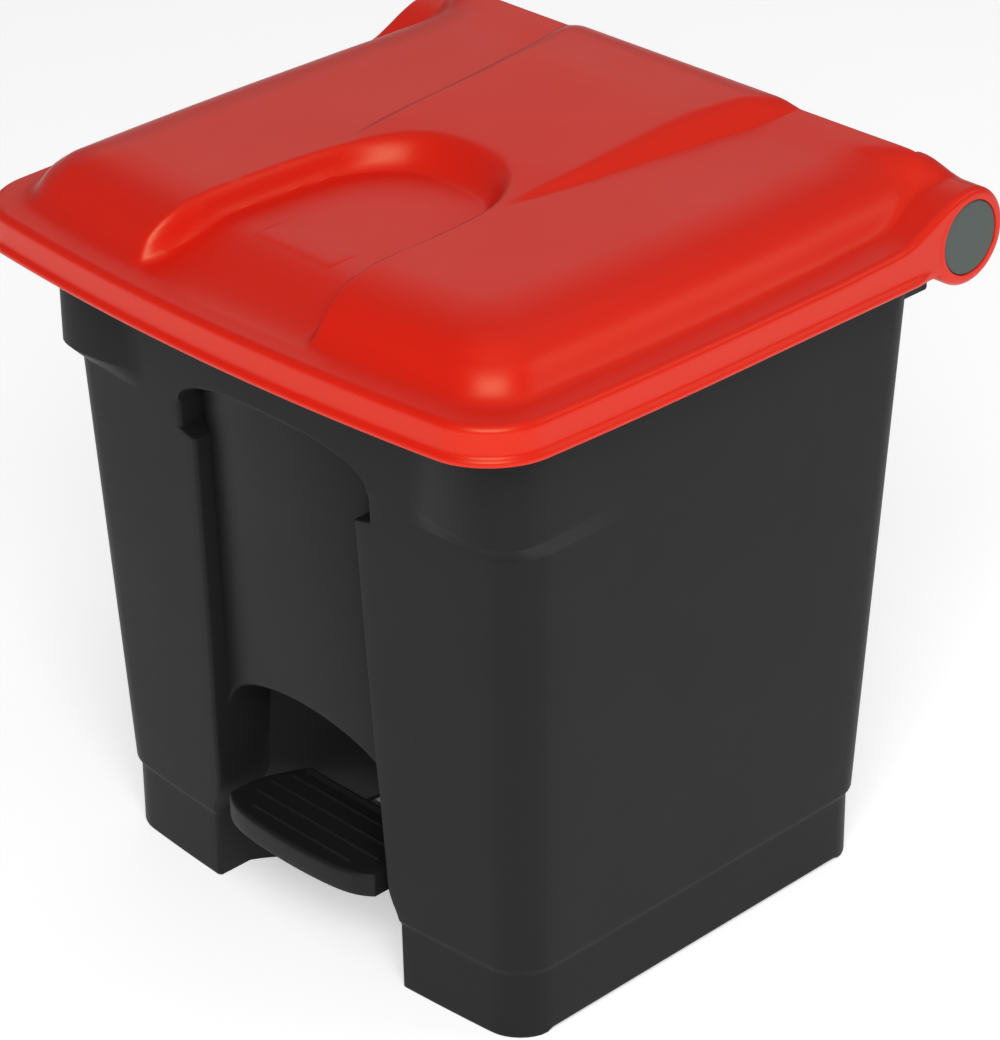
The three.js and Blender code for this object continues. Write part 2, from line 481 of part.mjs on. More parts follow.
// axle and the two hangers that hold it under the floor
piece('pedal_axle', union(cylX(AXLE_R, -52, 52, PIVOT_Y, PIVOT_Z, 24)), material.steel);
for (const [side, s] of [['right', 1], ['left', -1]]) {
  const x = 40 * s;
  let hanger = union(
    box(x - 6, x + 6, PIVOT_Y - 20, PIVOT_Y + 20, 60 - 3.3, 60 - GAP),
    prismX([[PIVOT_Y - 9, 57], [PIVOT_Y - 8, PIVOT_Z - 2], [PIVOT_Y - 4, PIVOT_Z - 8], [PIVOT_Y + 4, PIVOT_Z - 8], [PIVOT_Y + 8, PIVOT_Z - 2], [PIVOT_Y + 9, 57]], x - 3, x + 3),
  );
  hanger = cut(hanger, cylX(AXLE_R + GAP, x - 8, x + 8, PIVOT_Y, PIVOT_Z, 24),
    cylZ(2.2, 50, 62, x, PIVOT_Y - 15, 16), cylZ(2.2, 50, 62, x, PIVOT_Y + 15, 16));
  piece(`axle_hanger_${side}`, hanger, material.charcoal);
  piece(`hanger_screw_${side}_front`, screwUp(1.4, 56.4, 72, 3.6, 2, x, PIVOT_Y - 15), material.steel);
  piece(`hanger_screw_${side}_rear`, screwUp(1.4, 56.4, 72, 3.6, 2, x, PIVOT_Y + 15), material.steel);
  // push-on retaining cap at the axle's end
  const a = s > 0 ? [46, 54] : [-54, -46];
  piece(`axle_cap_${side}`, cut(cylX(7.5, a[0], a[1], PIVOT_Y, PIVOT_Z, 24),
    cylX(AXLE_R + GAP, s > 0 ? 44 : -52.3, s > 0 ? 52.3 : -44, PIVOT_Y, PIVOT_Z, 24)), material.bush);
}

// ---------------------------------------------------------------- push rod
const rod = union(
  cylZ(ROD_R, ROD_PIN_LOW_Z, CRANK_LOW_Z, 0, ROD_Y, 20),
  box(-4, 4, ROD_Y - 5.5, ROD_Y + 5.5, ROD_PIN_LOW_Z - 6.5, ROD_PIN_LOW_Z + 12),
  box(-4, 4, ROD_Y - 5.5, ROD_Y + 5.5, CRANK_LOW_Z - 14, CRANK_LOW_Z + 6),
);
piece('push_rod', cut(rod,
  cylX(ROD_PIN_R + GAP, -6, 6, ROD_Y, ROD_PIN_LOW_Z, 24),
  cylX(ROD_PIN_R + GAP, -6, 6, ROD_Y, CRANK_LOW_Z, 24)), material.steel);
piece('rod_pin_lower', cylX(ROD_PIN_R, -10.5, 10.5, ROD_Y, ROD_PIN_LOW_Z, 24), material.steel);
piece('rod_pin_upper', cylX(ROD_PIN_R, -10.5, 10.5, ROD_Y, CRANK_LOW_Z, 24), material.steel);
const guide = (z) => cut(
  box(-ROD_BAY.x + GAP, ROD_BAY.x - GAP, ROD_BAY.y0 + GAP, ROD_BAY.y1 - GAP, z, z + 8),
  cylZ(ROD_R + 0.5, z - 1, z + 9, 0, ROD_Y, 24));
piece('rod_guide_lower', guide(110), material.bush);
piece('rod_guide_upper', guide(308), material.bush);
let cover = box(-ROD_BAY.x - 14, ROD_BAY.x + 14, ROD_BAY.y0 - GAP - 2.2, ROD_BAY.y0 - GAP, FLOOR_Z + 1, 351);
for (const z of coverScrewZ) for (const s of [-1, 1]) {
  cover = cover.subtract(cylY(2.2, ROD_BAY.y0 - 5, ROD_BAY.y0 + 2, s * (ROD_BAY.x + 6.5), z, 16));
}
piece('rod_cover', cover, material.charcoal);
for (const [zn, z] of [['low', coverScrewZ[0]], ['high', coverScrewZ[1]]]) for (const [side, s] of [['right', 1], ['left', -1]]) {
  const x = s * (ROD_BAY.x + 6.5), y = ROD_BAY.y0 - GAP - 2.5;
  piece(`cover_screw_${side}_${zn}`, union(cylY(3.6, y - 2, y + 0.01, x, z, 12), cylY(1.4, y - 0.5, y + 13, x, z, 8)), material.steel);
}

// ---------------------------------------------------------------- lid crank
// hangs from the lid's rear and carries the slot that the rod's upper pin pushes on
const a0 = Math.PI * (1 + 37.5 / 180);                  // pin direction from the hinge axis, lid closed
const at = (r, a) => [AXIS_Y + r * Math.cos(a), AXIS_Z + r * Math.sin(a)];
const crankArm = (() => {
  const p = [at(CRANK_R + 9, a0 - 0.2), at(CRANK_R + 9, a0 + 0.16), at(CRANK_R + 4, a0 + 0.28), at(CRANK_R - 12.9, a0 + 0.2), at(CRANK_R - 15, a0 - 0.3)];
  return [[152, 417.4], [127, 417.4], [127, 405], p[0], p[1], p[2], p[3], p[4], [153.5, 390], [153.5, 408]];
})();
let crank = union(
  box(-25, 25, 128, 153, 414.4, 417.6),
  prismX(crankArm, 5.4, 8.4), prismX(crankArm, -8.4, -5.4),
);
const slotAlong = (r) => { const q = at(r, a0); return cylX(ROD_PIN_R + 1.0, -12, 12, q[0], q[1], 24); };
const slotBody = (() => {
  const c = Math.cos(a0), s = Math.sin(a0), w = ROD_PIN_R + 0.98;
  const p = (r, o) => [AXIS_Y + r * c - o * s, AXIS_Z + r * s + o * c];
  return prismX([p(CRANK_R - 7.4, -w), p(CRANK_R + 1.4, -w), p(CRANK_R + 1.4, w), p(CRANK_R - 7.4, w)].reverse(), -12, 12);
})();
crank = cut(crank, union(slotAlong(CRANK_R - 7.4), slotAlong(CRANK_R + 1.4), slotBody),
  cylZ(2.2, 410, 420, -18, 140, 16), cylZ(2.2, 410, 420, 18, 140, 16));
piece('lid_crank', crank, material.steel);
piece('crank_screw_left', screwUp(1.4, 414.1, 421, 3.6, 2, -18, 140), material.steel);
piece('crank_screw_right', screwUp(1.4, 414.1, 421, 3.6, 2, 18, 140), material.steel);

// ---------------------------------------------------------------- lid buffers
for (const [side, s] of [['right', 1], ['left', -1]]) {
  piece(`lid_buffer_${side}`, box(s * 120 - 8, s * 120 + 8, -175.5, -167.5, RIM_TOP + GAP, 392.7), material.rubber);
}

export default bin;
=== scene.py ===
"""Step-on pedal bin: the looks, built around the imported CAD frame.

Lengths in the shape code are millimetres; every mesh is scaled to metres as it is made."""
import math
import bmesh
import bpy
import numpy as np
from mathutils import Matrix, Vector


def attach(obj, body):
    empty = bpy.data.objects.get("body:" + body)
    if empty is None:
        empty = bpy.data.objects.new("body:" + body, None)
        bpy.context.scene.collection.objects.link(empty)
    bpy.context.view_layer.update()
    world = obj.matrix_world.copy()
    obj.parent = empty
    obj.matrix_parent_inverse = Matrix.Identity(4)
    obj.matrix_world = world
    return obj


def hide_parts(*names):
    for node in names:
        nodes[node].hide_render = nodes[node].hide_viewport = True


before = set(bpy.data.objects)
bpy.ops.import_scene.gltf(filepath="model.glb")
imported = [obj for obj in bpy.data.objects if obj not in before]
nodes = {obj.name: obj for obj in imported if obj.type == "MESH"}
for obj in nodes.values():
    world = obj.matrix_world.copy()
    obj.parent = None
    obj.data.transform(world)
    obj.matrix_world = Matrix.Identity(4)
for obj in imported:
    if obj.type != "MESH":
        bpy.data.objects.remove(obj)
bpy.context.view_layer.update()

MM = 0.001
scene = bpy.context.scene

# ---------------------------------------------------------------- camera
AZ, EL, ROLL = math.radians(45.8145), math.radians(28.8749), math.radians(-0.6251)
back = Vector((math.sin(AZ) * math.cos(EL), -math.cos(AZ) * math.cos(EL), math.sin(EL)))
right = Vector((math.cos(AZ), math.sin(AZ), 0.0))
up = back.cross(right)
r2 = right * math.cos(ROLL) + up * math.sin(ROLL)
u2 = -right * math.sin(ROLL) + up * math.cos(ROLL)
cam_data = bpy.data.cameras.new("camera")
cam = bpy.data.objects.new("camera", cam_data)
scene.collection.objects.link(cam)
cam.matrix_world = Matrix((
    (r2.x, u2.x, back.x, 1.3442),
    (r2.y, u2.y, back.y, -1.2858),
    (r2.z, u2.z, back.z, 1.2329),
    (0, 0, 0, 1),
))
cam_data.sensor_width = 36
cam_data.lens = 3885.67 * 36 / 1040
cam_data.clip_start, cam_data.clip_end = 0.05, 50
scene.camera = cam


# ---------------------------------------------------------------- small maths
def smax(a, b, k):
    h = np.clip(0.5 + 0.5 * (a - b) / k, 0, 1)
    return b * (1 - h) + a * h + k * h * (1 - h)


def smin(a, b, k):
    return -smax(-a, -b, k)


def sstep(t):
    t = np.clip(t, 0, 1)
    return t * t * (3 - 2 * t)


def sstep5(t):
    t = np.clip(t, 0, 1)
    return t * t * t * (t * (6 * t - 15) + 10)


def pchip(xs, ys):
    """A smooth curve through the points that doesn't overshoot them."""
    xs, ys = np.array(xs, float), np.array(ys, float)
    h, d = np.diff(xs), np.diff(ys) / np.diff(xs)
    m = np.zeros(len(xs))
    for i in range(1, len(xs) - 1):
        if d[i - 1] * d[i] > 0:
            w1, w2 = 2 * h[i] + h[i - 1], h[i] + 2 * h[i - 1]
            m[i] = (w1 + w2) / (w1 / d[i - 1] + w2 / d[i])
    m[0], m[-1] = d[0], d[-1]

    def f(x):
        x = np.asarray(x, float)
        i = np.clip(np.searchsorted(xs, x) - 1, 0, len(xs) - 2)
        t = np.clip((x - xs[i]) / h[i], 0, 1)
        return (ys[i] * (1 + 2 * t) * (1 - t) ** 2 + h[i] * m[i] * t * (1 - t) ** 2
                + ys[i + 1] * t * t * (3 - 2 * t) + h[i] * m[i + 1] * t * t * (t - 1))

    return f


def spaced(stops):
    """Line positions from [(from, to, pitch), ...], ends shared."""
    out = [stops[0][0]]
    for a, b, p in stops:
        n = max(1, int(round((b - a) / p)))
        out += list(a + (b - a) * np.arange(1, n + 1) / n)
    return np.array(out)


# ---------------------------------------------------------------- mesh building
class Builder:
    """Gathers points and faces in millimetres, joins shared points and makes the object."""

    def __init__(self):
        self.co, self.faces, self.n = [], [], 0

    def add(self, pts):
        pts = np.asarray(pts, float).reshape(-1, 3)
        self.co.append(pts)
        start = self.n
        self.n += len(pts)
        return start

    def grid(self, P, flip=False, closed_u=False):
        """P is (rows, columns, 3). Faces turn with the rows unless flipped."""
        P = np.asarray(P, float)
        rows, cols = P.shape[:2]
        s = self.add(P)
        idx = np.arange(rows * cols).reshape(rows, cols) + s
        a, b = idx[:-1, :-1], idx[:-1, 1:]
        c, d = idx[1:, 1:], idx[1:, :-1]
        if closed_u:
            j = np.arange(cols)
            jn = (j + 1) % cols
            a, b, c, d = idx[:-1][:, j], idx[:-1][:, jn], idx[1:][:, jn], idx[1:][:, j]
        q = np.stack([a, b, c, d], -1).reshape(-1, 4)
        if flip:
            q = q[:, ::-1]
        self.faces += q.tolist()

    def poly(self, P, flip=False):
        s = self.add(P)
        f = list(range(s, s + len(P)))
        self.faces.append(f[::-1] if flip else f)

    def make(self, name, merge=0.004, smooth=True, fix_normals=True):
        co = np.concatenate(self.co) * MM
        me = bpy.data.meshes.new(name)
        me.from_pydata(co.tolist(), [], self.faces)
        bm = bmesh.new()
        bm.from_mesh(me)
        bmesh.ops.remove_doubles(bm, verts=bm.verts, dist=merge * MM)
        bmesh.ops.dissolve_degenerate(bm, dist=merge * MM, edges=bm.edges)
        if fix_normals:
            bmesh.ops.recalc_face_normals(bm, faces=bm.faces)
            if bm.calc_volume(signed=True) < 0:
                bmesh.ops.reverse_faces(bm, faces=bm.faces)
        loose = [v for v in bm.verts if not v.link_faces]
        bmesh.ops.delete(bm, geom=loose, context="VERTS")
        open_edges = sum(1 for e in bm.edges if len(e.link_faces) != 2)
        bm.to_mesh(me)
        bm.free()
        if smooth:
            me.polygons.foreach_set("use_smooth", [True] * len(me.polygons))
        ob = bpy.data.objects.new(name, me)
        scene.collection.objects.link(ob)
        print(f"{name}: {len(me.vertices)} points, {len(me.polygons)} faces, {open_edges} edges not shared by two")
        return ob


def boolean(ob, others, op="DIFFERENCE"):
    """Cuts or joins with the other objects, which are then removed."""
    for i, o in enumerate(others):
        m = ob.modifiers.new(f"cut{i}", "BOOLEAN")
        m.operation = op
        m.solver = "MANIFOLD"
        m.object = o
    bpy.context.view_layer.update()
    dg = bpy.context.evaluated_depsgraph_get()
    me = bpy.data.meshes.new_from_object(ob.evaluated_get(dg))
    old = ob.data
    ob.modifiers.clear()
    ob.data = me
    bpy.data.meshes.remove(old)
    for o in others:
        d = o.data
        bpy.data.objects.remove(o)
        bpy.data.meshes.remove(d)
    return ob


def box_solid(name, x0, x1, y0, y1, z0, z1):
    b = Builder()
    c = [(x, y, z) for z in (z0, z1) for x, y in ((x0, y0), (x1, y0), (x1, y1), (x0, y1))]
    s = b.add(c)
    for f in ((3, 2, 1, 0), (4, 5, 6, 7), (0, 1, 5, 4), (1, 2, 6, 5), (2, 3, 7, 6), (3, 0, 4, 7)):
        b.faces.append([s + i for i in f])
    return b.make(name, smooth=False)


def revolve_x(name, profile, cy, cz, n=96):
    """Closed profile [(x, radius), ...] from axis to axis, turned about an axis along X."""
    b = Builder()
    t = np.linspace(0, 2 * np.pi, n, endpoint=False)
    prof = np.array(profile, float)
    ring = prof[1:-1]
    P = np.zeros((len(ring), n, 3))
    P[..., 0] = ring[:, :1]
    P[..., 1] = cy + ring[:, 1:] * np.cos(t)
    P[..., 2] = cz + ring[:, 1:] * np.sin(t)
    s = b.n
    b.grid(P, closed_u=True)
    for end, row, flip in ((prof[0], 0, True), (prof[-1], len(ring) - 1, False)):
        c = b.add([(end[0], cy, cz)])
        for j in range(n):
            f = [c, s + row * n + j, s + row * n + (j + 1) % n]
            b.faces.append(f[::-1] if flip else f)
    return b.make(name)


def sharp_edges(ob, degrees):
    me = ob.data
    me.polygons.foreach_set("use_smooth", [True] * len(me.polygons))
    me.set_sharp_from_angle(angle=math.radians(degrees))
    me.update()


# ---------------------------------------------------------------- lid
AX_Y, AX_Z = 165.0, 387.8            # hinge axis
BAR_R = 26.9                         # hinge barrel
BAR_X0, BAR_X1 = 163.6, 203.4
LID_YB = 165.0
FACE_HW, FACE_YF, FACE_R = 197.6, -175.9, 33.0
LID_MID = (FACE_YF + LID_YB) / 2
EDGE_R = 4.0                         # rounding of the lip's top edge
LID_Z0 = 374.0


def face_x(y):
    """Half width of the lid's upright face at y."""
    q = (y - LID_MID) / (LID_YB - LID_MID)
    return np.where(q < 0, FACE_HW + 5.0 * (1 - q * q), 203.4 - 0.8 * (1 - q * q))


def face_y(x):
    return FACE_YF - 12.9 * np.clip(1 - (x / FACE_HW) ** 2, 0, 1)


def inset_of(x, y):
    """How far inside the lid's upright face a point is, with corners that tighten inwards."""
    ax, ay = face_x(y) - np.abs(x), y - face_y(x)
    p, q = FACE_R - ax, FACE_R - ay
    a = 2 * 0.65 ** 2 - 0.35 ** 2
    b = 1.3 * (p + q) + 0.7 * FACE_R
    c = p * p + q * q - FACE_R ** 2
    disc = np.maximum(b * b - 4 * a * c, 0)
    s = (-b + np.sqrt(disc)) / (2 * a)
    corner = (p + 0.65 * s > 0) & (q + 0.65 * s > 0)
    return np.where(corner, s, np.minimum(ax, ay))


profile = pchip(
    [0, 4, 8, 13, 16.4, 19.0, 21.5, 25, 30.6, 38, 46.6, 55.6, 67.6, 78, 400],
    [395.2, 395.3, 395.7, 396.4, 397.6, 400.6, 404.6, 409.4, 413.9, 418.0, 421.0, 422.9, 424.1, 424.3, 424.3])
ear_line = pchip(
    [0, 88, 100, 110, 121, 131, 140, 147, 154, 160, AX_Y],
    [0, 0, 0.25, 1.2, 3.9, 8.2, 12.6, 15.6, 17.8, 18.9, 19.35])
foot_in = pchip([0, 60, 100, 130, 150, 165, 200], [0, 0.8, 2.2, 2.4, 1.2, 0, 0])
wedge_foot = pchip([-60, -36, 16.3, 68.2, 116.3, 158.4, 170], [56, 60.8, 68.6, 74.5, 81.3, 86.2, 87])
wedge_rise = pchip([-60, -40, 14, 67, 115, 138, 150, 158, 165, 172], [0, 0, 4.3, 8.1, 10.8, 9.8, 7.4, 4.4, 1.6, 1.0])
wedge_run = pchip([-60, -36, 14, 67, 115, 149, 170], [3, 3.5, 6.6, 11.4, 14.9, 12.5, 10])


TONGUE = [(70.5, -190), (68.2, -170), (64.0, -154), (62.0, -138), (61.4, -110), (60.6, -77), (58.4, -52), (55.0, -34), (49.5, -18), (41.0, -5.5), (29.0, 2.6), (15.0, 6.6), (0.0, 7.6)]


def tongue_inside(x, y):
    """Distance inside the edge of the tongue-shaped hollow, positive within."""
    P = smooth_line([(72.0, -260)] + TONGUE, 3)
    ax = np.abs(x)[..., None]
    yy = y[..., None]
    x0, y0, x1, y1 = P[:-1, 0], P[:-1, 1], P[1:, 0], P[1:, 1]
    dx, dy = x1 - x0, y1 - y0
    s = np.clip(((ax - x0) * dx + (yy - y0) * dy) / (dx * dx + dy * dy), 0, 1)
    d = np.sqrt((ax - x0 - s * dx) ** 2 + (yy - y0 - s * dy) ** 2).min(-1)
    half = np.interp(y, P[:, 1], P[:, 0], right=-1)
    return np.where(np.abs(x) < half, d, -d)


def lid_top(x, y, c=None, fine=True):
    """Height of the lid's outer surface."""
    if c is None:
        c = inset_of(x, y)
    ax = np.abs(x)
    # the crown's flank draws in towards the hinge barrels
    s = foot_in(np.clip(y, 0, 200))
    k = np.clip((c - 16 - s), 0, None)
    cc = np.where(c > 16 + s, 16 + k * 54 / np.maximum(54 - s, 20), np.minimum(c, 16))
    # and squares up and rises a little towards the rear edge
    cc = np.where(cc > 16, 16 + (cc - 16) * (1 + 0.75 * sstep((y - 142) / 22)), cc)
    crown = profile(cc) + 2.2 * sstep((y - 119) / 44) * sstep((c - 16) / 20)
    # wedge that widens to the back
    t = (wedge_foot(y) - ax) / wedge_run(y)
    g = smin(np.clip(t, 0, 9), 1.0 + 0 * t, 0.42)
    wedge = wedge_rise(y) * np.clip(g, 0, 1)
    z = crown + wedge
    # tongue-shaped hollow
    inside = tongue_inside(x, y)
    run = 7.0 + 15 * sstep((y + 46) / 46)
    S = sstep5((inside + 1.6) / (run + 1.6))
    floor = 396.2 + 14.4 * sstep((y + 177) / 62) + np.clip(y + 60, 0, 100) * 0.012
    z = z - np.clip(z - floor, 0, None) * S
    if fine:
        pad = np.minimum(28.5 - ax, 9.4 - np.abs(y + 113))
        z = z + 0.32 * sstep((pad + 0.6) / 1.6)
    # ledge sweeps up to the barrels
    ear = 395.45 + ear_line(np.clip(y, 0, AX_Y))
    near = sstep((ax - 118) / 30) * sstep((y - 60) / 40)
    blend = 4.5 + 9.5 * sstep((y - 146) / 16)
    z = np.where(near > 0, z * (1 - near) + smax(z, ear, blend) * near, z)
    # rear edge rolls over
    roll = 4.6 - np.sqrt(np.clip(4.6 ** 2 - np.clip(y - (LID_YB - 4.6), 0, 4.6) ** 2, 0, None))
    z = z - roll * sstep((176 - ax) / 30)
    return z


def lid_edge(c):
    """Drop of the lip's rounded top edge."""
    return EDGE_R - np.sqrt(np.clip(EDGE_R ** 2 - np.clip(EDGE_R - c, 0, EDGE_R) ** 2, 0, None))


def lid_ring(c, ny, nx, na, fy, fx):
    """Open U of plan points at inset c: left side from the back, the front, the right side."""
    r = FACE_R - 0.35 * c
    hw, yf = FACE_HW - c, FACE_YF + c
    ys, xs = yf + r, hw - r
    side_y = LID_YB + (ys - LID_YB) * fy                      # from the back forwards
    half = np.linspace(0, np.pi / 4, na + 1)[1:]
    left = [np.stack([np.full(ny, -hw), side_y], -1)]
    left.append(np.stack([-xs - r * np.cos(half), ys - r * np.sin(half)], -1))
    half2 = np.linspace(np.pi / 4, np.pi / 2, na + 1)[1:]
    left.append(np.stack([-xs - r * np.cos(half2), ys - r * np.sin(half2)], -1))
    left.append(np.stack([xs * fx[1:-1], np.full(nx - 2, yf)], -1))
    L = np.concatenate(left)
    Rt = L[: ny + 2 * na][::-1] * [-1, 1]
    P = np.concatenate([L, Rt])
    x, y = P[:, 0], P[:, 1]
    # bow of the sides and the front
    sx = (face_x(y) - FACE_HW) * np.sign(x) * np.clip(np.abs(x) / hw, 0, 1) ** 2
    w = np.clip((LID_MID - y) / (LID_MID - yf), 0, 1) ** 2
    sy = 12.9 * np.clip(1 - (x / hw) ** 2, 0, 1) * w
    return np.stack([x + sx, y - sy], -1)


def build_lid():
    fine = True
    q = 1.0 if fine else 1.6
    fy = spaced([(0.0, 0.03, 0.004 * q), (0.03, 0.30, 0.0105 * q), (0.30, 0.86, 0.0115 * q), (0.86, 1.0, 0.0115 * q)])
    xs = spaced([(0, 26.5, 2.9 * q), (26.5, 31, 0.75 * q), (31, 52, 2.1 * q), (52, 92, 1.25 * q), (92, 127, 3.6 * q)]) / 127.0
    fx = np.concatenate([-xs[::-1][:-1], xs])
    ny, nx, na = len(fy), len(fx), 6
    cs = [0, 0.12, 0.48, 1.05, 1.8, 2.7, 3.6, 4.6, 6, 8, 10, 12, 14, 15.5, 17, 18.5, 20, 21.5, 23, 25, 27, 29.5, 32.5, 36, 39.8, 43, 47, 52, 58]
    rings = np.array([lid_ring(c, ny, nx, na, fy, fx) for c in cs])          # (rings, U, 2)
    X, Y = rings[..., 0], rings[..., 1]
    C = np.array(cs)[:, None] + 0 * X
    Z = lid_top(X, Y, np.where(C < 30, C, inset_of(X, Y))) - lid_edge(C)
    b = Builder()
    top = np.stack([X, Y, Z], -1)
    b.grid(top)
    # inner block between the last ring's three sides and the back
    U = rings[-1]
    # sides run from the back to the corner, the front from corner to corner
    L, R_ = U[: ny + na], U[::-1][: ny + na]
    F = U[ny + na - 1: ny + 3 * na + nx - 1]
    n1, n2 = len(L), len(F)
    # plan x of the back edge follows the front's spacing
    s = np.linspace(0, 1, n2)
    fl = np.concatenate([[0], np.cumsum(np.linalg.norm(np.diff(F, axis=0), axis=1))])
    fl /= fl[-1]
    Bk = np.stack([L[0, 0] + (R_[0, 0] - L[0, 0]) * fl, np.full(n2, LID_YB)], -1)
    t = np.concatenate([[0], np.cumsum(np.linalg.norm(np.diff(L, axis=0), axis=1))])
    t = (t / t[-1])[:, None, None]
    sfl = fl[None, :, None]
    G = ((1 - t) * Bk[None] + t * F[None] + (1 - sfl) * L[:, None] + sfl * R_[:, None]
         - ((1 - t) * (1 - sfl) * Bk[0] + (1 - t) * sfl * Bk[-1] + t * (1 - sfl) * F[0] + t * sfl * F[-1]))
    GX, GY = G[..., 0], G[..., 1]
    GZ = lid_top(GX, GY)
    GZ[0, 0], GZ[0, -1] = Z[-1, 0], Z[-1, -1]
    GZ[:, 0], GZ[:, -1] = Z[-1, :n1], Z[-1, ::-1][:n1]
    GZ[-1, :] = Z[-1, ny + na - 1: ny + 3 * na + nx - 1]
    b.grid(np.stack([GX, GY, GZ], -1), flip=True)
    # the barrels' upper rear quarter
    ke = cs.index(39.8)
    th = np.linspace(0, np.pi / 2, 18)
    loop_right, ear_rows = None, {}
    for side, col in ((-1, 0), (1, -1)):
        x = X[: ke + 1, col]
        Rc = BAR_R - lid_edge(np.array(cs[: ke + 1]))
        z0 = Z[: ke + 1, col]
        P = np.zeros((ke + 1, len(th), 3))
        P[..., 0] = x[:, None]
        P[..., 1] = AX_Y + Rc[:, None] * np.sin(th)
        P[..., 2] = AX_Z + Rc[:, None] * np.cos(th)
        # ease from the lid's own height at the join to the circle
        e = (z0 - P[:, 0, 2])[:, None] * (1 - sstep(th / 0.9))[None]
        P[..., 2] += e
        b.grid(P, flip=side > 0)
        ear_rows[side] = P
    # the rim loop, all round: where the upright walls start
    EL_, ER_ = ear_rows[-1], ear_rows[1]
    loop = [EL_[0, ::-1][:-1], top[0][:-1], ER_[0][:-1], ER_[:, -1][:-1], ER_[-1, ::-1][:-1]]
    back_edge = np.stack([GX[0], GY[0], GZ[0]], -1)[::-1]
    inner_right = top[ke:, -1]                       # from the barrel's inner face to the block
    inner_left = top[ke:, 0][::-1]
    loop += [inner_right[:-1], back_edge[:-1], inner_left[:-1], EL_[-1][:-1], EL_[::-1, -1][:-1]]
    loop = np.concatenate(loop)
    # drop repeats
    keep = np.linalg.norm(loop - np.roll(loop, 1, axis=0), axis=1) > 0.003
    loop = loop[keep]
    lx, ly = loop[:, 0], loop[:, 1]
    cen = np.array([0.0, -10.0])
    # outward direction of the loop in plan
    tang = np.roll(loop, -1, axis=0)[:, :2] - np.roll(loop, 1, axis=0)[:, :2]
    tang /= np.maximum(np.linalg.norm(tang, axis=1, keepdims=True), 1e-9)
    nrm = np.stack([tang[:, 1], -tang[:, 0]], -1)
    sgn = np.sign(np.sum(nrm * (loop[:, :2] - cen), axis=1).sum())
    nrm *= sgn
    bead = 1 - sstep((ly - 122) / 16)
    bead = np.where((np.abs(lx) > 150) | (ly < 100), bead, 0)
    in_ear = (np.abs(lx) > BAR_X0 - 0.5) & (ly > 147)
    in_back = (np.abs(lx) <= BAR_X0 - 0.5) & (ly > 147)
    zb = np.where(in_ear, 386.4, np.where(in_back, 388.0, LID_Z0))
    rows = [(0.0, None, 0.0), (0.0, 0.25, 0.0), (0.0, 0.55, 0.0)]
    stations = [(382.6, 0.0), (380.6, 0.05), (379.4, 0.3), (378.6, 0.85), (378.0, 1.6), (377.3, 2.15), (376.3, 2.45),
                (375.3, 2.35), (374.5, 1.8), (374.05, 0.9), (374.0, 0.0)]
    W = [loop]
    zt = loop[:, 2]
    for f in (0.3, 0.65):
        z = zt + (np.maximum(stations[0][0], zb + 0.6 * (zt - zb)) - zt) * f
        W.append(np.stack([lx, ly, z], -1))
    for k, (z, e) in enumerate(stations):
        fz = (382.6 - z) / 8.6
        zz = zb + (np.maximum(382.6, zb + 0.6 * np.minimum(zt - zb, 14.3)) - zb) * (1 - fz)
        off = e * bead
        W.append(np.stack([lx + nrm[:, 0] * off, ly + nrm[:, 1] * off, zz], -1))
    W = np.array(W)
    b.grid(W, closed_u=True, flip=True)
    # flat underside as a fan of the same plan; nearly all of it is cut away below
    under = W[-1]
    ctr = np.array([[0, 0, 374.0]])
    lid_bottom(b, under)
    ob = b.make("lid")
    return ob


def lid_bottom(b, loop):
    """Closes the lid's underside with one n-gon, cut into triangles."""
    from mathutils.geometry import tessellate_polygon
    s = b.add(loop)
    tris = tessellate_polygon([[Vector((p[0], p[1], 0)) for p in loop]])
    b.faces += [[s + i for i in t] for t in tris]


def lid_cavity():
    """The hollow under the lid: the outer surface moved in by the wall, as a closed solid."""
    wall = 2.9
    gx = np.linspace(-1, 1, 90)
    gy = np.linspace(0, 1, 84)
    hw_rows, P = [], np.zeros((len(gy), len(gx), 3))
    y0, y1 = FACE_YF - 12.9 + wall, LID_YB - wall
    # plan rows between the front and the back, narrowed at the front corners
    for j, v in enumerate(gy):
        for side in (0,):
            pass
    U, V = np.meshgrid(gx, gy)
    # square-to-rounded plan: scale each point along its ray to the inset outline
    bx, by = U, V
    x = U * (FACE_HW - wall)
    yf = face_y(x) + wall
    y = yf + (y1 - yf) * V
    # pull the two front corners in to the rounded outline
    for _ in range(12):
        c = inset_of(x, y)
        short = np.clip(wall - c, 0, None)
        gxn = -np.sign(x) * np.clip((np.abs(x) - (FACE_HW - FACE_R)) / FACE_R, 0, 1)
        gyn = np.clip(((FACE_YF + FACE_R) - y) / FACE_R, 0, 1)
        n = np.sqrt(gxn ** 2 + gyn ** 2) + 1e-6
        x = x + gxn / n * short
        y = y + gyn / n * short
    z = lid_top(x, y, None, fine=False) - wall - 0.1
    z = np.minimum(z, 392.4 + np.clip(inset_of(x, y) - wall, 0, 100) * 1.2)
    topg = np.stack([x, y, z], -1)
    low = topg.copy()
    low[..., 2] = 360.0
    b = Builder()
    b.grid(topg)
    b.grid(low, flip=True)
    for edge_t, edge_b, fl in ((topg[0], low[0], True), (topg[-1], low[-1], False), (topg[:, 0], low[:, 0], False), (topg[:, -1], low[:, -1], True)):
        b.grid(np.stack([edge_t, edge_b]), flip=fl)
    return b.make("lid_cavity")


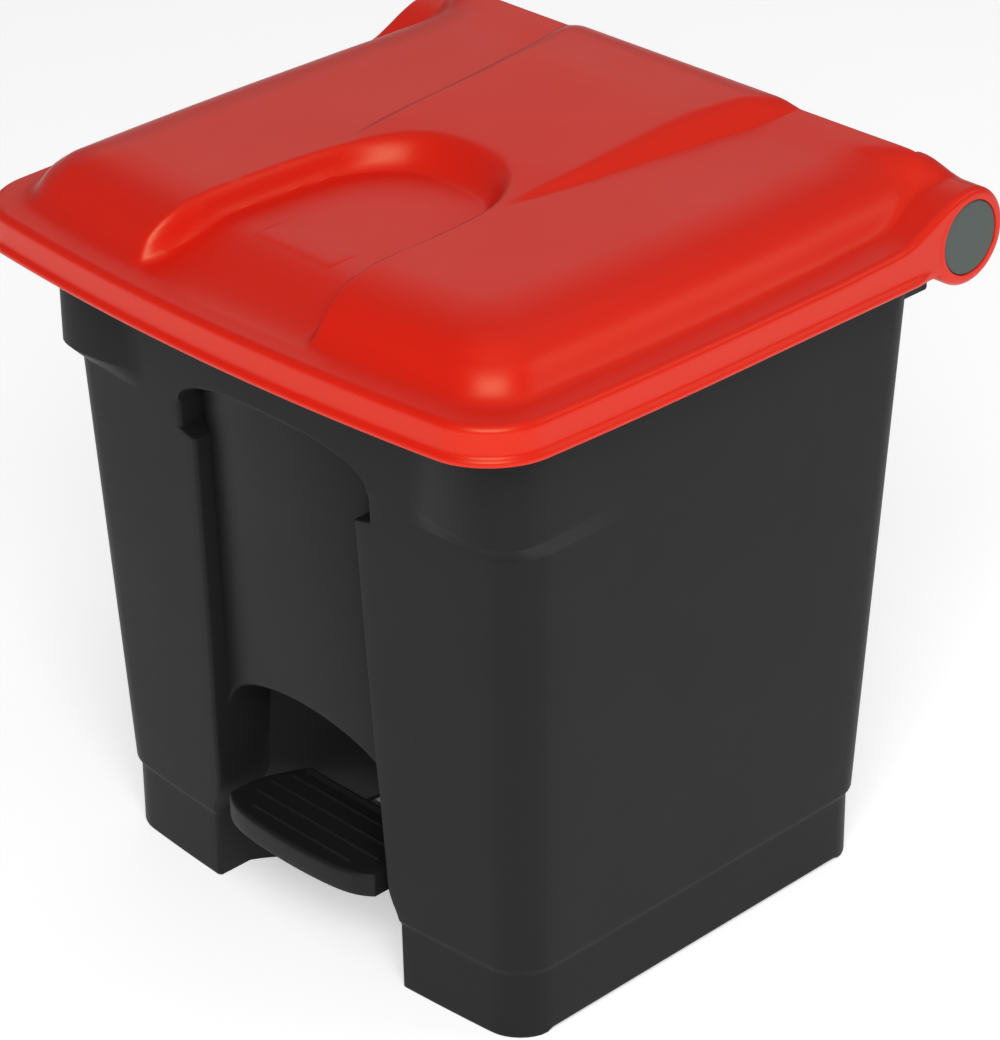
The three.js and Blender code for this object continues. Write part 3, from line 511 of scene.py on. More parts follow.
def finish_lid(ob):
    cav = lid_cavity()
    boolean(cav, [box_solid("e1", 160.8, 230, 139.0, 220, 350, 440), box_solid("e2", -230, -160.8, 139.0, 220, 350, 440)])
    barrels = []
    for s in (-1, 1):
        R, e = BAR_R - 0.05, EDGE_R
        prof = [(BAR_X0 + 0.03, 0), (BAR_X0 + 0.03, R - 0.6), (BAR_X0 + 0.6, R)]
        for a in np.linspace(0, np.pi / 2, 8):
            prof.append((BAR_X1 - 0.05 - e + e * np.sin(a), R - e + e * np.cos(a)))
        prof.append((BAR_X1 - 0.05, 0))
        prof = [(s * x, r) for x, r in prof]
        barrels.append(revolve_x(f"barrel{s}", prof, AX_Y, AX_Z, 128))
    boolean(ob, barrels, "UNION")
    cuts = [cav]
    cuts.append(box_solid("back_open", -BAR_X0 + 0.3, BAR_X0 - 0.3, 145, 200, 350, 387.9))
    for s in (-1, 1):
        x0, x1 = sorted((s * 130, s * (BAR_X0 - 0.1)))
        cuts.append(box_solid(f"lug{s}", x0, x1, 145, 200, 350, 405))
        cuts.append(revolve_x(f"bore{s}", [(s * (BAR_X0 - 2), 0), (s * (BAR_X0 - 2), 5.4), (s * 210, 5.4), (s * 210, 0)], AX_Y, AX_Z, 48))
        cuts.append(revolve_x(f"recess{s}", [(s * (BAR_X0 + 7), 0), (s * (BAR_X0 + 7), 20.55), (s * (BAR_X1 - 0.5), 20.55), (s * (BAR_X1 + 0.6), 21.6), (s * 210, 21.6), (s * 210, 0)], AX_Y, AX_Z, 128))
    boolean(ob, cuts)
    boss = box_solid("boss", -26, 26, 128, 158, 418, 428)
    boolean(ob, [boss], "UNION")
    sharp_edges(ob, 40)
    return ob


# ---------------------------------------------------------------- body
LO_Z, HI_Z = 44.5, 323.4
ARCH_LOW, ARCH_TOP = 111.0, 306.0    # where the niche's arch and the panel's arch spring
ARCH_RISE, CROWN_RISE = 35.5, 20.0   # how far the two arches rise


def lean(z):
    return (z - LO_Z) / (HI_Z - LO_Z)


def dims(z):
    """Half width, front, back, corner radius, rear radius and bow of the outline at z."""
    z = np.asarray(z, float)
    t = lean(np.maximum(z, LO_Z))
    hw, yf, yb = 163.3 + 11.8 * t, -124.6 - 11.7 * t, 148.6 + 11.4 * t
    k = sstep((z - 40.6) / 3.8)
    hw, yf, yb = 161.4 + (hw - 161.4) * k, -122.8 + (yf + 122.8) * k, 146.4 + (yb - 146.4) * k
    k = sstep((z - 356) / 10)
    yb = yb + (158 - yb) * k
    rb = 22 - 6 * k
    k = sstep((z - 366) / 4.2)
    hw, yf = hw + (187 - hw) * k, yf + (-165.3 - yf) * k
    return hw, yf, yb, 22 + 6 * k, rb, 8.8 + 4.1 * k


def pillar_x(z):
    """Half width of the gap between the two front pillars."""
    return np.interp(z, [0, 44, 48, 54, 60, 68, 80, 120, 140, 171, 202, 233, 264, 287.6, 290.2, ARCH_TOP, 400],
                     [75, 74.2, 73.0, 70.0, 68.0, 67.4, 67.2, 66.0, 65, 64, 63.3, 62.6, 61.8, 61.3, 72.5, 72.5, 72.5])


def panel_y(x, z):
    mid = -130.9 - 0.0794 * (z - 150)
    side = -125.4 - 0.0295 * (z - 143)
    return mid + (side - mid) * np.minimum(np.abs(x) / 66, 1.1) ** 2.6


SHOULDER = [(96, -137), (112, -142.6), (132, -146.6), (150, -148.3), (166, -145.4), (174.9, -136), (176.9, -122), (176.2, -100), (174.8, -74), (172, -50)]


def smooth_line(pts, times=4):
    P = np.array(pts, float)
    for _ in range(times):
        Q = np.empty((2 * len(P) - 2, 2))
        Q[0::2] = 0.75 * P[:-1] + 0.25 * P[1:]
        Q[1::2] = 0.25 * P[:-1] + 0.75 * P[1:]
        P = np.concatenate([P[:1], Q, P[-1:]])
    return P


def shoulder_out(x, y, z):
    """Moves points of the front corners out to the shoulders' plan line."""
    S = smooth_line(SHOULDER)
    c = np.array([112.0, -70.0])
    ang = np.arctan2(S[:, 1] - c[1], S[:, 0] - c[0])
    rad = np.hypot(S[:, 0] - c[0], S[:, 1] - c[1])
    o = np.argsort(ang)
    ang, rad = ang[o], rad[o]
    ax = np.abs(x)
    a = np.arctan2(y - c[1], ax - c[0])
    r = np.hypot(ax - c[0], y - c[1])
    want = np.interp(a, ang, rad, left=0, right=0)
    gate = np.clip((z - 300.2) / 10.5, 0, 1)
    gate = np.where(z > 311, 1.0, gate) * (1 - sstep((z - 366) / 2.5))
    grow = np.clip(want - r, 0, None)
    fade = sstep((a + 1.95) / 0.35) * sstep((0.18 - a) / 0.3)
    k = 1 + grow * gate * fade / np.maximum(r, 1)
    ok = (ax > 92) & (y < -55)
    return (np.where(ok, np.sign(x) * (c[0] + (ax - c[0]) * k), x), np.where(ok, c[1] + (y - c[1]) * k, y))


EDGE_ROUND = 2.4
_th = np.linspace(0, np.pi / 2, 6)
EDGE_T = np.concatenate([[0.0, 0.04, 0.08], 0.1 + EDGE_ROUND * (1 - np.cos(_th[1:]))])     # outwards from the gap's edge
EDGE_D = np.concatenate([[np.nan, np.nan, EDGE_ROUND], EDGE_ROUND * (1 - np.sin(_th[1:]))])  # back from the pillar's face


def body_rows():
    """Pillar heights of the skin's rows, the arch rows' numbers, and the panel's depth share."""
    low = [0, 0.25, 0.9, 2.2, 14, 28, 38, 40.2, 41.2, 42.0, 42.8, 43.6, 44.4, 45.4, 47, 50, 53, 57, 61, 70, 80, 90, 98, 105]
    arch = [ARCH_LOW, 111.5, 112.1, 112.8, 113.6, 114.6, 117, 122, 130, 140]
    mid = list(spaced([(150, 284, 16)]))
    notch = [286, 287.2, 287.9, 288.5, 289.1, 289.7, 290.3, 291, 293, 296, 298.6, 299.6, 300.2, 301.2, 303, 304.8]
    top = [ARCH_TOP, 306.25, 306.5, 306.75, 307.05, 307.4, 307.9, 309, 310.2, 310.7, 311.3, 313, 318, 326, 335, 345]
    rim = [352, 358, 362, 365.4, 366.4, 367.4, 368.4, 369.4, 370.4, 371.5, 380, 388.8, 389.6, 390]
    z = np.array(low + arch + mid + notch + top + rim)
    jn = len(low)
    jt = len(low + arch + mid + notch)
    share = np.ones(len(z))
    share[jt:jt + 7] = [1, 0.8, 0.56, 0.34, 0.16, 0.05, 0]
    share[jt + 7:] = 0
    return z, jn, jt, share


def build_body():
    zrow, jn, jt, share = body_rows()
    nr = len(zrow)
    nS = 25
    s = np.sin(np.linspace(-np.pi / 2, np.pi / 2, 2 * nS + 1))[1:-1]
    pil = spaced([(0, 1, 0.085)])[1:]
    na, side_n, back_n = 9, 16, 0
    xb = spaced([(0, 16, 4), (16, 27, 0.9), (27, 139, 9.4)]) / 139.0
    xb = np.concatenate([xb[::-1][:-1], -xb])[1:]
    cols = []
    U = []
    loops = []
    for j, z in enumerate(zrow):
        hw, yf, yb, r, rb, bow = (float(v) for v in dims(z))
        xe = float(pillar_x(z))
        m = share[j]

        def front(x):
            return yf - bow * np.clip(1 - (x / hw) ** 2, 0, 1)

        # right edge: from the panel's end out over the rounding, then the pillar's face
        ex = xe + EDGE_T
        ey0 = front(ex)
        wall = float(panel_y(xe, z))
        full = ey0 + EDGE_D
        full[0] = wall
        full[1] = 0.5 * (wall + full[2])
        ey = ey0 + (full - ey0) * m
        px = ex[-1] + (hw - r - ex[-1]) * pil
        py = front(px)
        right_x, right_y = np.concatenate([ex, px]), np.concatenate([ey, py])
        # panel between the edges
        gn = 1 - sstep((z - ARCH_LOW) / 150) if z >= ARCH_LOW else 0.0
        gr = sstep((z - 238) / (ARCH_TOP - 238)) * (1 - sstep((z - ARCH_TOP) / 46))
        sx = s * xe
        sz = z + ARCH_RISE * np.sqrt(1 - s * s) * gn + CROWN_RISE * np.sqrt(1 - s * s) * gr
        hw_s, yf_s, _, _, _, bow_s = dims(sz)
        fy = yf_s - bow_s * np.clip(1 - (sx / hw_s) ** 2, 0, 1)
        py_ = panel_y(sx, sz)
        sy = fy + (py_ - fy) * m
        # rounded lower lip of the panel over the arch
        if jn <= j < jn + 6:
            q = np.array([1, 0.62, 0.33, 0.14, 0.04, 0])[j - jn]
            sy = sy + EDGE_ROUND * q
            sz = z + ARCH_RISE * np.sqrt(1 - s * s)
        a = np.linspace(-np.pi / 2, 0, na + 1)[1:]
        arc = np.stack([hw - r + r * np.cos(a), yf + r + r * np.sin(a)], -1)
        mid = (yf + yb) / 2
        arc[:, 1] -= bow * np.clip(1 - (arc[:, 0] / hw) ** 2, 0, 1) * np.clip((mid - arc[:, 1]) / (mid - yf), 0, 1) ** 2
        t = np.linspace(0, 1, side_n + 1)[1:, None]
        sd = np.array([hw, yf + r]) * (1 - t) + np.array([hw, yb - rb]) * t
        a = np.linspace(0, np.pi / 2, na + 1)[1:]
        rc = np.stack([hw - rb + rb * np.cos(a), yb - rb + rb * np.sin(a)], -1)
        half = np.concatenate([np.stack([right_x, right_y], -1), arc, sd, rc])
        bk = np.stack([xb * (hw - rb), np.full(len(xb), yb)], -1)
        # rib for the push rod down the back
        rib = 157.4 + 2.8 - 1.6
        w = sstep((23.4 - np.abs(bk[:, 0])) / 2.2)
        bk[:, 1] = np.maximum(bk[:, 1], bk[:, 1] + (rib - bk[:, 1]) * w) if z < 366 else bk[:, 1]
        left = half[::-1] * [-1, 1]
        ring = np.concatenate([np.stack([sx, sy], -1), half, bk[:-1], left])
        rz = np.concatenate([sz, np.full(len(half), z), np.full(len(bk) - 1, z), np.full(len(half), z)])
        rx, ry = shoulder_out(ring[:, 0], ring[:, 1], rz)
        # slight rounding of the foot and the rim, and relief under the sides between the feet
        if j < 3:
            e = [0.9, 0.3, 0.0][j]
            cx, cy = rx, ry
            at = np.arange(len(ring))
            outside = (at >= len(s) + 3) & (at < len(ring) - 3)
            k = 1 - e / np.hypot(cx, cy)
            rx = np.where(outside, cx * k, cx)
            ry = np.where(outside, cy * k, cy)
        if z > 389:
            k = 1 - [0.35, 1.0][int(z > 389.8)] / np.hypot(rx, ry)
            rx, ry = rx * k, ry * k
        if j < 5:
            span = sstep((118 - np.abs(ry - 12)) / 5) * (np.abs(rx) > 150) + sstep((122 - np.abs(rx)) / 5) * (ry > 120)
            rz = rz + 2.2 * np.clip(span, 0, 1) * [1, 1, 1, 0.75, 0][j]
        loops.append(np.stack([rx, ry, rz], -1))
    P = np.array(loops)                                   # (rows, loop, 3)
    n_s, n_h, n_b = len(s), len(half), len(bk) - 1
    i_r0 = n_s                                            # right pillar's first column
    i_l1 = n_s + 2 * n_h + n_b - 1                        # left pillar's last column
    b = Builder()
    # everything but the panel, all rows
    outer = P[:, i_r0:]
    b.grid(outer)
    # panel over the arch, tied to the two edges
    band = np.concatenate([P[:, i_l1:i_l1 + 1], P[:, :n_s], P[:, i_r0:i_r0 + 1]], axis=1)
    b.grid(band[jn:])
    # foot niche: side walls, roof and the hollow back
    zj = zrow[: jn + 1]
    dep = np.array([0, 0.25, 0.5, 0.75, 1.0])

    def back_y(x):
        return -62.0 - (85.0 - np.sqrt(np.clip(85.0 ** 2 - x * x, 0, None)))

    for sgn, col, flip in ((1, i_r0, True), (-1, i_l1, False)):
        E = P[: jn + 1, col]
        B = E.copy()
        B[:, 1] = back_y(E[:, 0])
        G = E[:, None] * (1 - dep[None, :, None]) + B[:, None] * dep[None, :, None]
        b.grid(G, flip=flip)
    E = band[jn]
    B = E.copy()
    B[:, 1] = back_y(E[:, 0])
    G = E[:, None] * (1 - dep[None, :, None]) + B[:, None] * dep[None, :, None]
    b.grid(G, flip=False)
    # back wall between the side walls
    sall = np.concatenate([[-1.0], s, [1.0]])
    BW = np.zeros((jn + 1, len(sall), 3))
    for j in range(jn + 1):
        l, r_ = P[j, i_l1], P[j, i_r0]
        x = sall * r_[0]
        z = zrow[j] + ARCH_RISE * np.sqrt(np.clip(1 - sall ** 2, 0, 1)) * (zrow[j] / ARCH_LOW) ** 2
        z[0], z[-1] = l[2], r_[2]
        BW[j] = np.stack([x, back_y(x), z], -1)
    BW[jn] = B
    b.grid(BW)
    # underside and top, closed flat
    foot_loop = np.concatenate([P[0, i_r0:], niche_foot(P[0, i_l1], BW[0], P[0, i_r0], dep)])
    cap(b, foot_loop, up=False)
    cap(b, P[-1], up=True)
    return b.make("body")


def niche_foot(l, back_row, r, dep):
    """Floor-level line of the niche from the left pillar round the back to the right pillar."""
    a = l[None] * (1 - dep[1:, None]) + back_row[:1] * dep[1:, None]
    c = back_row[-1:] * (1 - dep[1:-1, None]) + r[None] * dep[1:-1, None]
    return np.concatenate([a, back_row[1:], c])


def cap(b, loop, up):
    from mathutils.geometry import tessellate_polygon
    st = b.add(loop)
    tris = tessellate_polygon([[Vector((p[0], p[1], 0)) for p in loop]])
    for t in tris:
        b.faces.append([st + i for i in t])


# plain solids that only take material away or add hidden pieces
def prism(name, pts, a, c, axis):
    """Extrudes a closed outline from a to c. Outline pairs: z: (x, y), y: (x, z), x: (y, z)."""
    from mathutils.geometry import tessellate_polygon
    n = len(pts)

    def place(u, v, w):
        return {"z": (u, v, w), "y": (u, w, v), "x": (w, u, v)}[axis]

    b = Builder()
    st = b.add([place(u, v, a) for u, v in pts] + [place(u, v, c) for u, v in pts])
    for i in range(n):
        j = (i + 1) % n
        b.faces.append([st + i, st + j, st + n + j, st + n + i])
    for t in tessellate_polygon([[Vector((u, v, 0)) for u, v in pts]]):
        b.faces.append([st + i for i in t])
        b.faces.append([st + n + i for i in t[::-1]])
    return b.make(name, smooth=False)


def loft(name, rings):
    """A closed solid through plan outlines of equal length at rising heights."""
    b = Builder()
    P = np.array([[(x, y, z) for x, y in pts] for z, pts in rings], float)
    b.grid(P, closed_u=True)
    cap(b, P[0], False)
    cap(b, P[-1], True)
    return b.make(name)


def plan(hw, yf, yb, r, rb, bow, n=10):
    pts = []

    def arc(cx, cy, rad, a0, a1):
        for a in np.linspace(a0, a1, n + 1):
            pts.append((cx + rad * math.cos(a), cy + rad * math.sin(a)))

    arc(hw - r, yf + r, r, -math.pi / 2, 0)
    arc(hw - rb, yb - rb, rb, 0, math.pi / 2)
    arc(-hw + rb, yb - rb, rb, math.pi / 2, math.pi)
    arc(-hw + r, yf + r, r, math.pi, 1.5 * math.pi)
    for i in range(1, 16):
        pts.append((-hw + r + 2 * (hw - r) * i / 16, yf))
    mid = (yf + yb) / 2
    return [(x, y - (bow * max(0, 1 - (x / hw) ** 2) * ((mid - y) / (mid - yf)) ** 2 if y < mid else 0)) for x, y in pts]


def inner_plan(z, t=2.8):
    hw, yf, yb, r, rb, bow = (float(v) for v in dims(z))
    return plan(hw - t, yf + t, yb - t, r - 1, rb - 2, bow)


def cyl_x(name, R, x0, x1, y, z, n=64):
    return revolve_x(name, [(x0, 0), (x0, R), (x1, R), (x1, 0)], y, z, n)


def cyl_z(name, R, z0, z1, x, y, n=24):
    b = Builder()
    t = np.linspace(0, 2 * np.pi, n, endpoint=False)
    return prism(name, [(x + R * math.cos(a), y + R * math.sin(a)) for a in t], z0, z1, "z")


def cyl_y(name, R, y0, y1, x, z, n=24):
    t = np.linspace(0, 2 * np.pi, n, endpoint=False)
    return prism(name, [(x + R * math.cos(a), z + R * math.sin(a)) for a in t], y0, y1, "y")


def niche_block(w):
    """The foot niche with its wall, as a plain solid to keep out of the hollows."""
    elev = [(-75 - w, -2), (75 + w, -2), (74 + w, 48), (68.2 + w, 60), (66.6 + w, ARCH_LOW + w * 0.6)]
    for i in range(1, 16):
        a = math.pi * i / 16
        elev.append(((66.6 + w) * math.cos(a), ARCH_LOW + w * 0.6 + (ARCH_RISE + w * 0.4) * math.sin(a)))
    elev += [(-66.6 - w, ARCH_LOW + w * 0.6), (-68.2 - w, 60), (-74 - w, 48)]
    o = prism("niche", elev, -175, -20, "y")
    pl = [(-90, -180), (90, -180)]
    R, bk = 85 + w, -62 + w
    for i in range(21):
        x = 82 - 8.2 * i
        pl.append((x, bk - (R - math.sqrt(max(R * R - x * x, 0)))))
    k = prism("niche_plan", pl, -4, 210, "z")
    return boolean(o, [k], "INTERSECT")


def recess_block(w):
    b = Builder()
    zs = [96, 120, 200, 286, 290, 306, 316, 325, 328]
    elev = {96: 66.6, 120: 66.6, 200: 64.4, 286: 64, 290: 72.5, 306: 72.5, 316: 64, 325: 30, 328: 14}
    rings = []
    for z in zs:
        hx = elev[z] + w
        xs = np.linspace(hx, -hx, 21)
        back_line = [(x, float(panel_y(min(abs(x), 73) * np.sign(x), z)) + w) for x in xs]
        rings.append((z, [(-hx, -190), (hx, -190)] + back_line))
    return loft("recess", rings)


def finish_body(ob):
    W = 2.8
    cavity = loft("cavity", [(80, inner_plan(80)), (200, inner_plan(200)), (HI_Z, inner_plan(HI_Z)), (358, inner_plan(358)), (366, inner_plan(366)), (372.8, inner_plan(378)), (392, inner_plan(378))])
    keep = [niche_block(W), recess_block(W), box_solid("bay", -21.4, 21.4, 132.5, 162, 78, 352)]
    for z in (120, 320):
        for sx in (-1, 1):
            x0, x1 = sorted((sx * 18, sx * 31))
            keep.append(box_solid("screw_boss", x0, x1, 132.5, 164, z - 6, z + 6))
    for sx in (-1, 1):
        x0, x1 = sorted((sx * 162.2, sx * 260))
        keep.append(cyl_x("zone", 27.6 + W, x0, x1, AX_Y, AX_Z))
    boolean(cavity, keep)
    under = loft("under", [(-1, inner_plan(0)), (40.3, inner_plan(40)), (47, inner_plan(47)), (77.2, inner_plan(77.2))])
    boolean(under, [niche_block(W)])
    # bands across the back under the hinge, and the lugs that carry its pins
    adds = []
    for x1, y1, z0, z1 in ((172.5, 169, 347, 356), (172.5, 174.5, 352, 360)):
        adds.append(prism("band", [(150, z0), (y1 - 1, z0), (y1, z0 + 1), (y1, z1 - 1), (y1 - 1, z1), (150, z1)], -x1, x1, "x"))
    cuts = [cavity, under, box_solid("rod_bay", -19, 19, 132.5, 157.4, -1, 395)]
    for sx in (-1, 1):
        x0, x1 = sorted((sx * 162.4, sx * 260))
        cuts.append(cyl_x("scoop", 27.6, x0, x1, AX_Y, AX_Z, 128))
        cuts.append(box_solid("rim_end", x0, x1, 134, 210, 366, 396))
    cuts.append(box_solid("rear_rim", -163.4, 163.4, 140, 210, 374, 396))
    cuts.append(box_solid("lever_slot", -13, 13, -75, -50, 26, 63))
    boolean(ob, adds, "UNION")
    boolean(ob, cuts)
    lugs, bores = [], []
    for sx in (-1, 1):
        prof = [(150, 350), (174.5, 350), (AX_Y + 14, AX_Z)]
        for i in range(1, 24):
            a = math.pi * i / 24
            prof.append((AX_Y + 14 * math.cos(a), AX_Z + 14 * math.sin(a)))
        prof += [(AX_Y - 14, AX_Z), (154.5, 372), (150, 366)]
        x0, x1 = sorted((sx * 138, sx * 162.4))
        lugs.append(prism("lug", prof, x0, x1, "x"))
        bores.append(cyl_x("lug_bore", 8.3, x0 - 1, x1 + 1, AX_Y, AX_Z, 48))
    for x in (-40, 40):
        for y in (-35, -5):
            lugs.append(box_solid("boss", x - 6, x + 6, y - 5, y + 5, 60, 78.2))
            bores.append(cyl_z("boss_bore", 1.7, 55, 74, x, y))
    for z in (120, 320):
        for sx in (-1, 1):
            bores.append(cyl_y("cover_bore", 1.7, 131.5, 146.5, sx * 25.5, z))
    boolean(ob, lugs, "UNION")
    boolean(ob, bores)
    sharp_edges(ob, 38)
    return ob


# ---------------------------------------------------------------- tread
def build_tread():
    top, low, hw, yb = 65.7, 51.5, 59.0, -86.0
    rib_y, rib_half = (-132.7, -121.0, -109.2, -97.5), (40, 50, 51, 48)
    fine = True
    n = 100 if fine else 60
    e = np.array([0, 0.12, 0.4, 0.85, 1.5, 2.3, 3.2]) / hw
    u = np.concatenate([-1 + e, np.linspace(-1 + 4.4 / hw, 1 - 4.4 / hw, n), 1 - e[::-1]])
    e2 = np.array([0, 0.12, 0.4, 0.85, 1.5, 2.3, 3.2]) / 58.0
    v = np.concatenate([e2, np.linspace(4.0 / 58, 1 - 4.0 / 58, n + 20), 1 - e2[::-1]])
    U, V = np.meshgrid(u, v)

    def half_at(y):
        return np.interp(y, [-144.4, -118, -108, -97, -86], [59, 59, 57.4, 52.6, 47.6])

    x = U * hw
    yfr = -144.6 + 5.2 * np.abs(U) ** 2 + 6.6 * np.abs(U) ** 7
    y = yfr + V * (yb - yfr)
    x = U * half_at(y)
    eu = (1 - np.abs(U)) * hw
    ev = np.minimum(V * (yb - yfr), (1 - V) * (yb - yfr))
    R = 2.6
    q = R - np.minimum(R, -2.2 + np.sqrt((eu + 2.2) * 0 + (np.minimum(eu, ev) + 2.2) ** 2))
    z = top - (R - np.sqrt(np.clip(R * R - q * q, 0, None))) * 0.95
    for ry, rh in zip(rib_y, rib_half):
        w = sstep((1.25 - np.abs(y - ry)) / 0.7) * sstep((rh - np.abs(x)) / 1.6)
        z = z + 1.15 * w
    w = sstep((y + 91.0) / 3.0) * sstep((45.5 - np.abs(x)) / 3.0) * sstep((-86.0 + 0.2 - y) / 1.2 + 0.35)
    z = z + 2.2 * w
    G = np.stack([x, y, z], -1)
    b = Builder()
    b.grid(G)
    loop = np.concatenate([G[0, :-1], G[:-1, -1], G[-1, ::-1][:-1], G[::-1, 0][:-1]])
    d = np.roll(loop, -1, 0)[:, :2] - np.roll(loop, 1, 0)[:, :2]
    d /= np.maximum(np.linalg.norm(d, axis=1, keepdims=True), 1e-9)
    out = np.stack([d[:, 1], -d[:, 0]], -1)
    rows = [loop]
    for z, k in ((60.5, 0.0), (56, 0.0), (52.6, 0.0), (51.8, 0.25), (51.5, 0.8)):
        rows.append(np.stack([loop[:, 0] - out[:, 0] * k, loop[:, 1] - out[:, 1] * k, np.full(len(loop), z)], -1))
    b.grid(np.array(rows), closed_u=True)
    cap(b, rows[-1], False)
    ob = b.make("tread_skin")
    inner = [(-56.2, -120.4), (-48, -131.6), (-30, -138.6), (0, -141.6), (30, -138.6), (48, -131.6), (56.2, -120.4), (54.4, -108), (49.6, -97), (45.2, -88.8), (-45.2, -88.8), (-49.6, -97), (-54.4, -108)]
    boolean(ob, [prism("tread_hollow", inner, 45, 62.7, "z")])
    boolean(ob, [box_solid("tread_boss", -12, 12, -128, -87, 59.7, 63.7)], "UNION")
    boolean(ob, [box_solid("tread_slot", -9.5, 9.5, -93, -80, 40, 60.2)] + [cyl_z("tread_bore", 1.7, 50, 62.5, 0, yy) for yy in (-122, -98)])
    sharp_edges(ob, 38)
    return ob


def build_cap(s):
    prof = [(198.0, 0), (198.0, 5.35), (189.4, 5.35), (189.4, 8.6), (189.8, 9.0), (199.8, 9.0), (199.8, 19.7), (200.2, 20.2), (202.2, 20.2), (202.7, 20.0), (202.95, 19.5), (203.0, 18.6), (202.9, 12), (202.85, 0)]
    ob = revolve_x(f"cap_skin_{'right' if s > 0 else 'left'}", [(s * x, r) for x, r in prof], AX_Y, AX_Z, 128)
    sharp_edges(ob, 35)
    return ob


# ---------------------------------------------------------------- finishes
def rgb(r, g, b):
    """sRGB 0..255 to linear."""
    def f(c):
        c /= 255
        return c / 12.92 if c <= 0.04045 else ((c + 0.055) / 1.055) ** 2.4
    return (f(r), f(g), f(b), 1)


def finish_material(name, base, rough, *, metallic=0.0, speck=0.03, grain=900.0, grain_depth=0.00002, rough_var=0.06,
                    wave=None, coat=0.0, mottle=6.0, ior=1.5, sub=0.0, dust=0.0, spec=0.5, tint=(1, 1, 1, 1), glow=0.0):
    """A moulded or metal finish: soft mottling, fine grain and uneven gloss."""
    m = bpy.data.materials.new(name)
    m.use_nodes = True
    nt = m.node_tree
    N, L = nt.nodes, nt.links
    N.clear()
    out = N.new("ShaderNodeOutputMaterial")
    p = N.new("ShaderNodeBsdfPrincipled")
    L.new(p.outputs[0], out.inputs[0])
    tc = N.new("ShaderNodeTexCoord")
    p.inputs["Metallic"].default_value = metallic
    p.inputs["IOR"].default_value = ior
    p.inputs["Specular IOR Level"].default_value = spec
    p.inputs["Specular Tint"].default_value = tint
    if glow:
        p.inputs["Emission Color"].default_value = (1, 1, 1, 1)
        p.inputs["Emission Strength"].default_value = glow
    if coat:
        p.inputs["Coat Weight"].default_value = coat
        p.inputs["Coat Roughness"].default_value = 0.25
    if sub:
        p.inputs["Subsurface Weight"].default_value = sub
        p.inputs["Subsurface Scale"].default_value = 0.002
        p.inputs["Subsurface Radius"].default_value = (1.0, 0.3, 0.2)

    def noise(scale, detail=3.0, rough=0.5):
        n = N.new("ShaderNodeTexNoise")
        n.inputs["Scale"].default_value = scale
        n.inputs["Detail"].default_value = detail
        n.inputs["Roughness"].default_value = rough
        L.new(tc.outputs["Object"], n.inputs["Vector"])
        return n

    big, fine = noise(mottle, 4), noise(grain, 2)
    mix = N.new("ShaderNodeMix")
    mix.data_type = "RGBA"
    a = [min(1, c * (1 - speck)) for c in base[:3]] + [1]
    c = [min(1, c * (1 + speck)) for c in base[:3]] + [1]
    mix.inputs[6].default_value = a
    mix.inputs[7].default_value = c
    L.new(big.outputs["Fac"], mix.inputs[0])
    col = mix.outputs[2]
    if dust:
        # a little pale dust on faces that look up
        geo = N.new("ShaderNodeNewGeometry")
        sep = N.new("ShaderNodeSeparateXYZ")
        L.new(geo.outputs["Normal"], sep.inputs[0])
        mr = N.new("ShaderNodeMapRange")
        mr.inputs[1].default_value, mr.inputs[2].default_value = 0.75, 1.0
        mr.inputs[3].default_value, mr.inputs[4].default_value = 0.0, dust
        L.new(sep.outputs["Z"], mr.inputs[0])
        mul = N.new("ShaderNodeMath")
        mul.operation = "MULTIPLY"
        L.new(mr.outputs[0], mul.inputs[0])
        L.new(noise(22, 5, 0.65).outputs["Fac"], mul.inputs[1])
        dm = N.new("ShaderNodeMix")
        dm.data_type = "RGBA"
        dm.inputs[7].default_value = (0.45, 0.42, 0.40, 1)
        L.new(mul.outputs[0], dm.inputs[0])
        L.new(col, dm.inputs[6])
        col = dm.outputs[2]
    L.new(col, p.inputs["Base Color"])
    rr = N.new("ShaderNodeMapRange")
    rr.inputs[3].default_value, rr.inputs[4].default_value = rough - rough_var, rough + rough_var
    L.new(noise(14, 5, 0.6).outputs["Fac"], rr.inputs[0])
    L.new(rr.outputs[0], p.inputs["Roughness"])
    bump = N.new("ShaderNodeBump")
    bump.inputs["Strength"].default_value = 1.0
    bump.inputs["Distance"].default_value = grain_depth
    L.new(fine.outputs["Fac"], bump.inputs["Height"])
    last = bump
    if wave:
        w = N.new("ShaderNodeTexNoise")
        w.inputs["Scale"].default_value = wave[0]
        w.inputs["Detail"].default_value = 1.0
        L.new(tc.outputs["Object"], w.inputs["Vector"])
        b2 = N.new("ShaderNodeBump")
        b2.inputs["Strength"].default_value = 1.0
        b2.inputs["Distance"].default_value = wave[1]
        L.new(w.outputs["Fac"], b2.inputs["Height"])
        L.new(bump.outputs[0], b2.inputs["Normal"])
        last = b2
    L.new(last.outputs[0], p.inputs["Normal"])
    return m


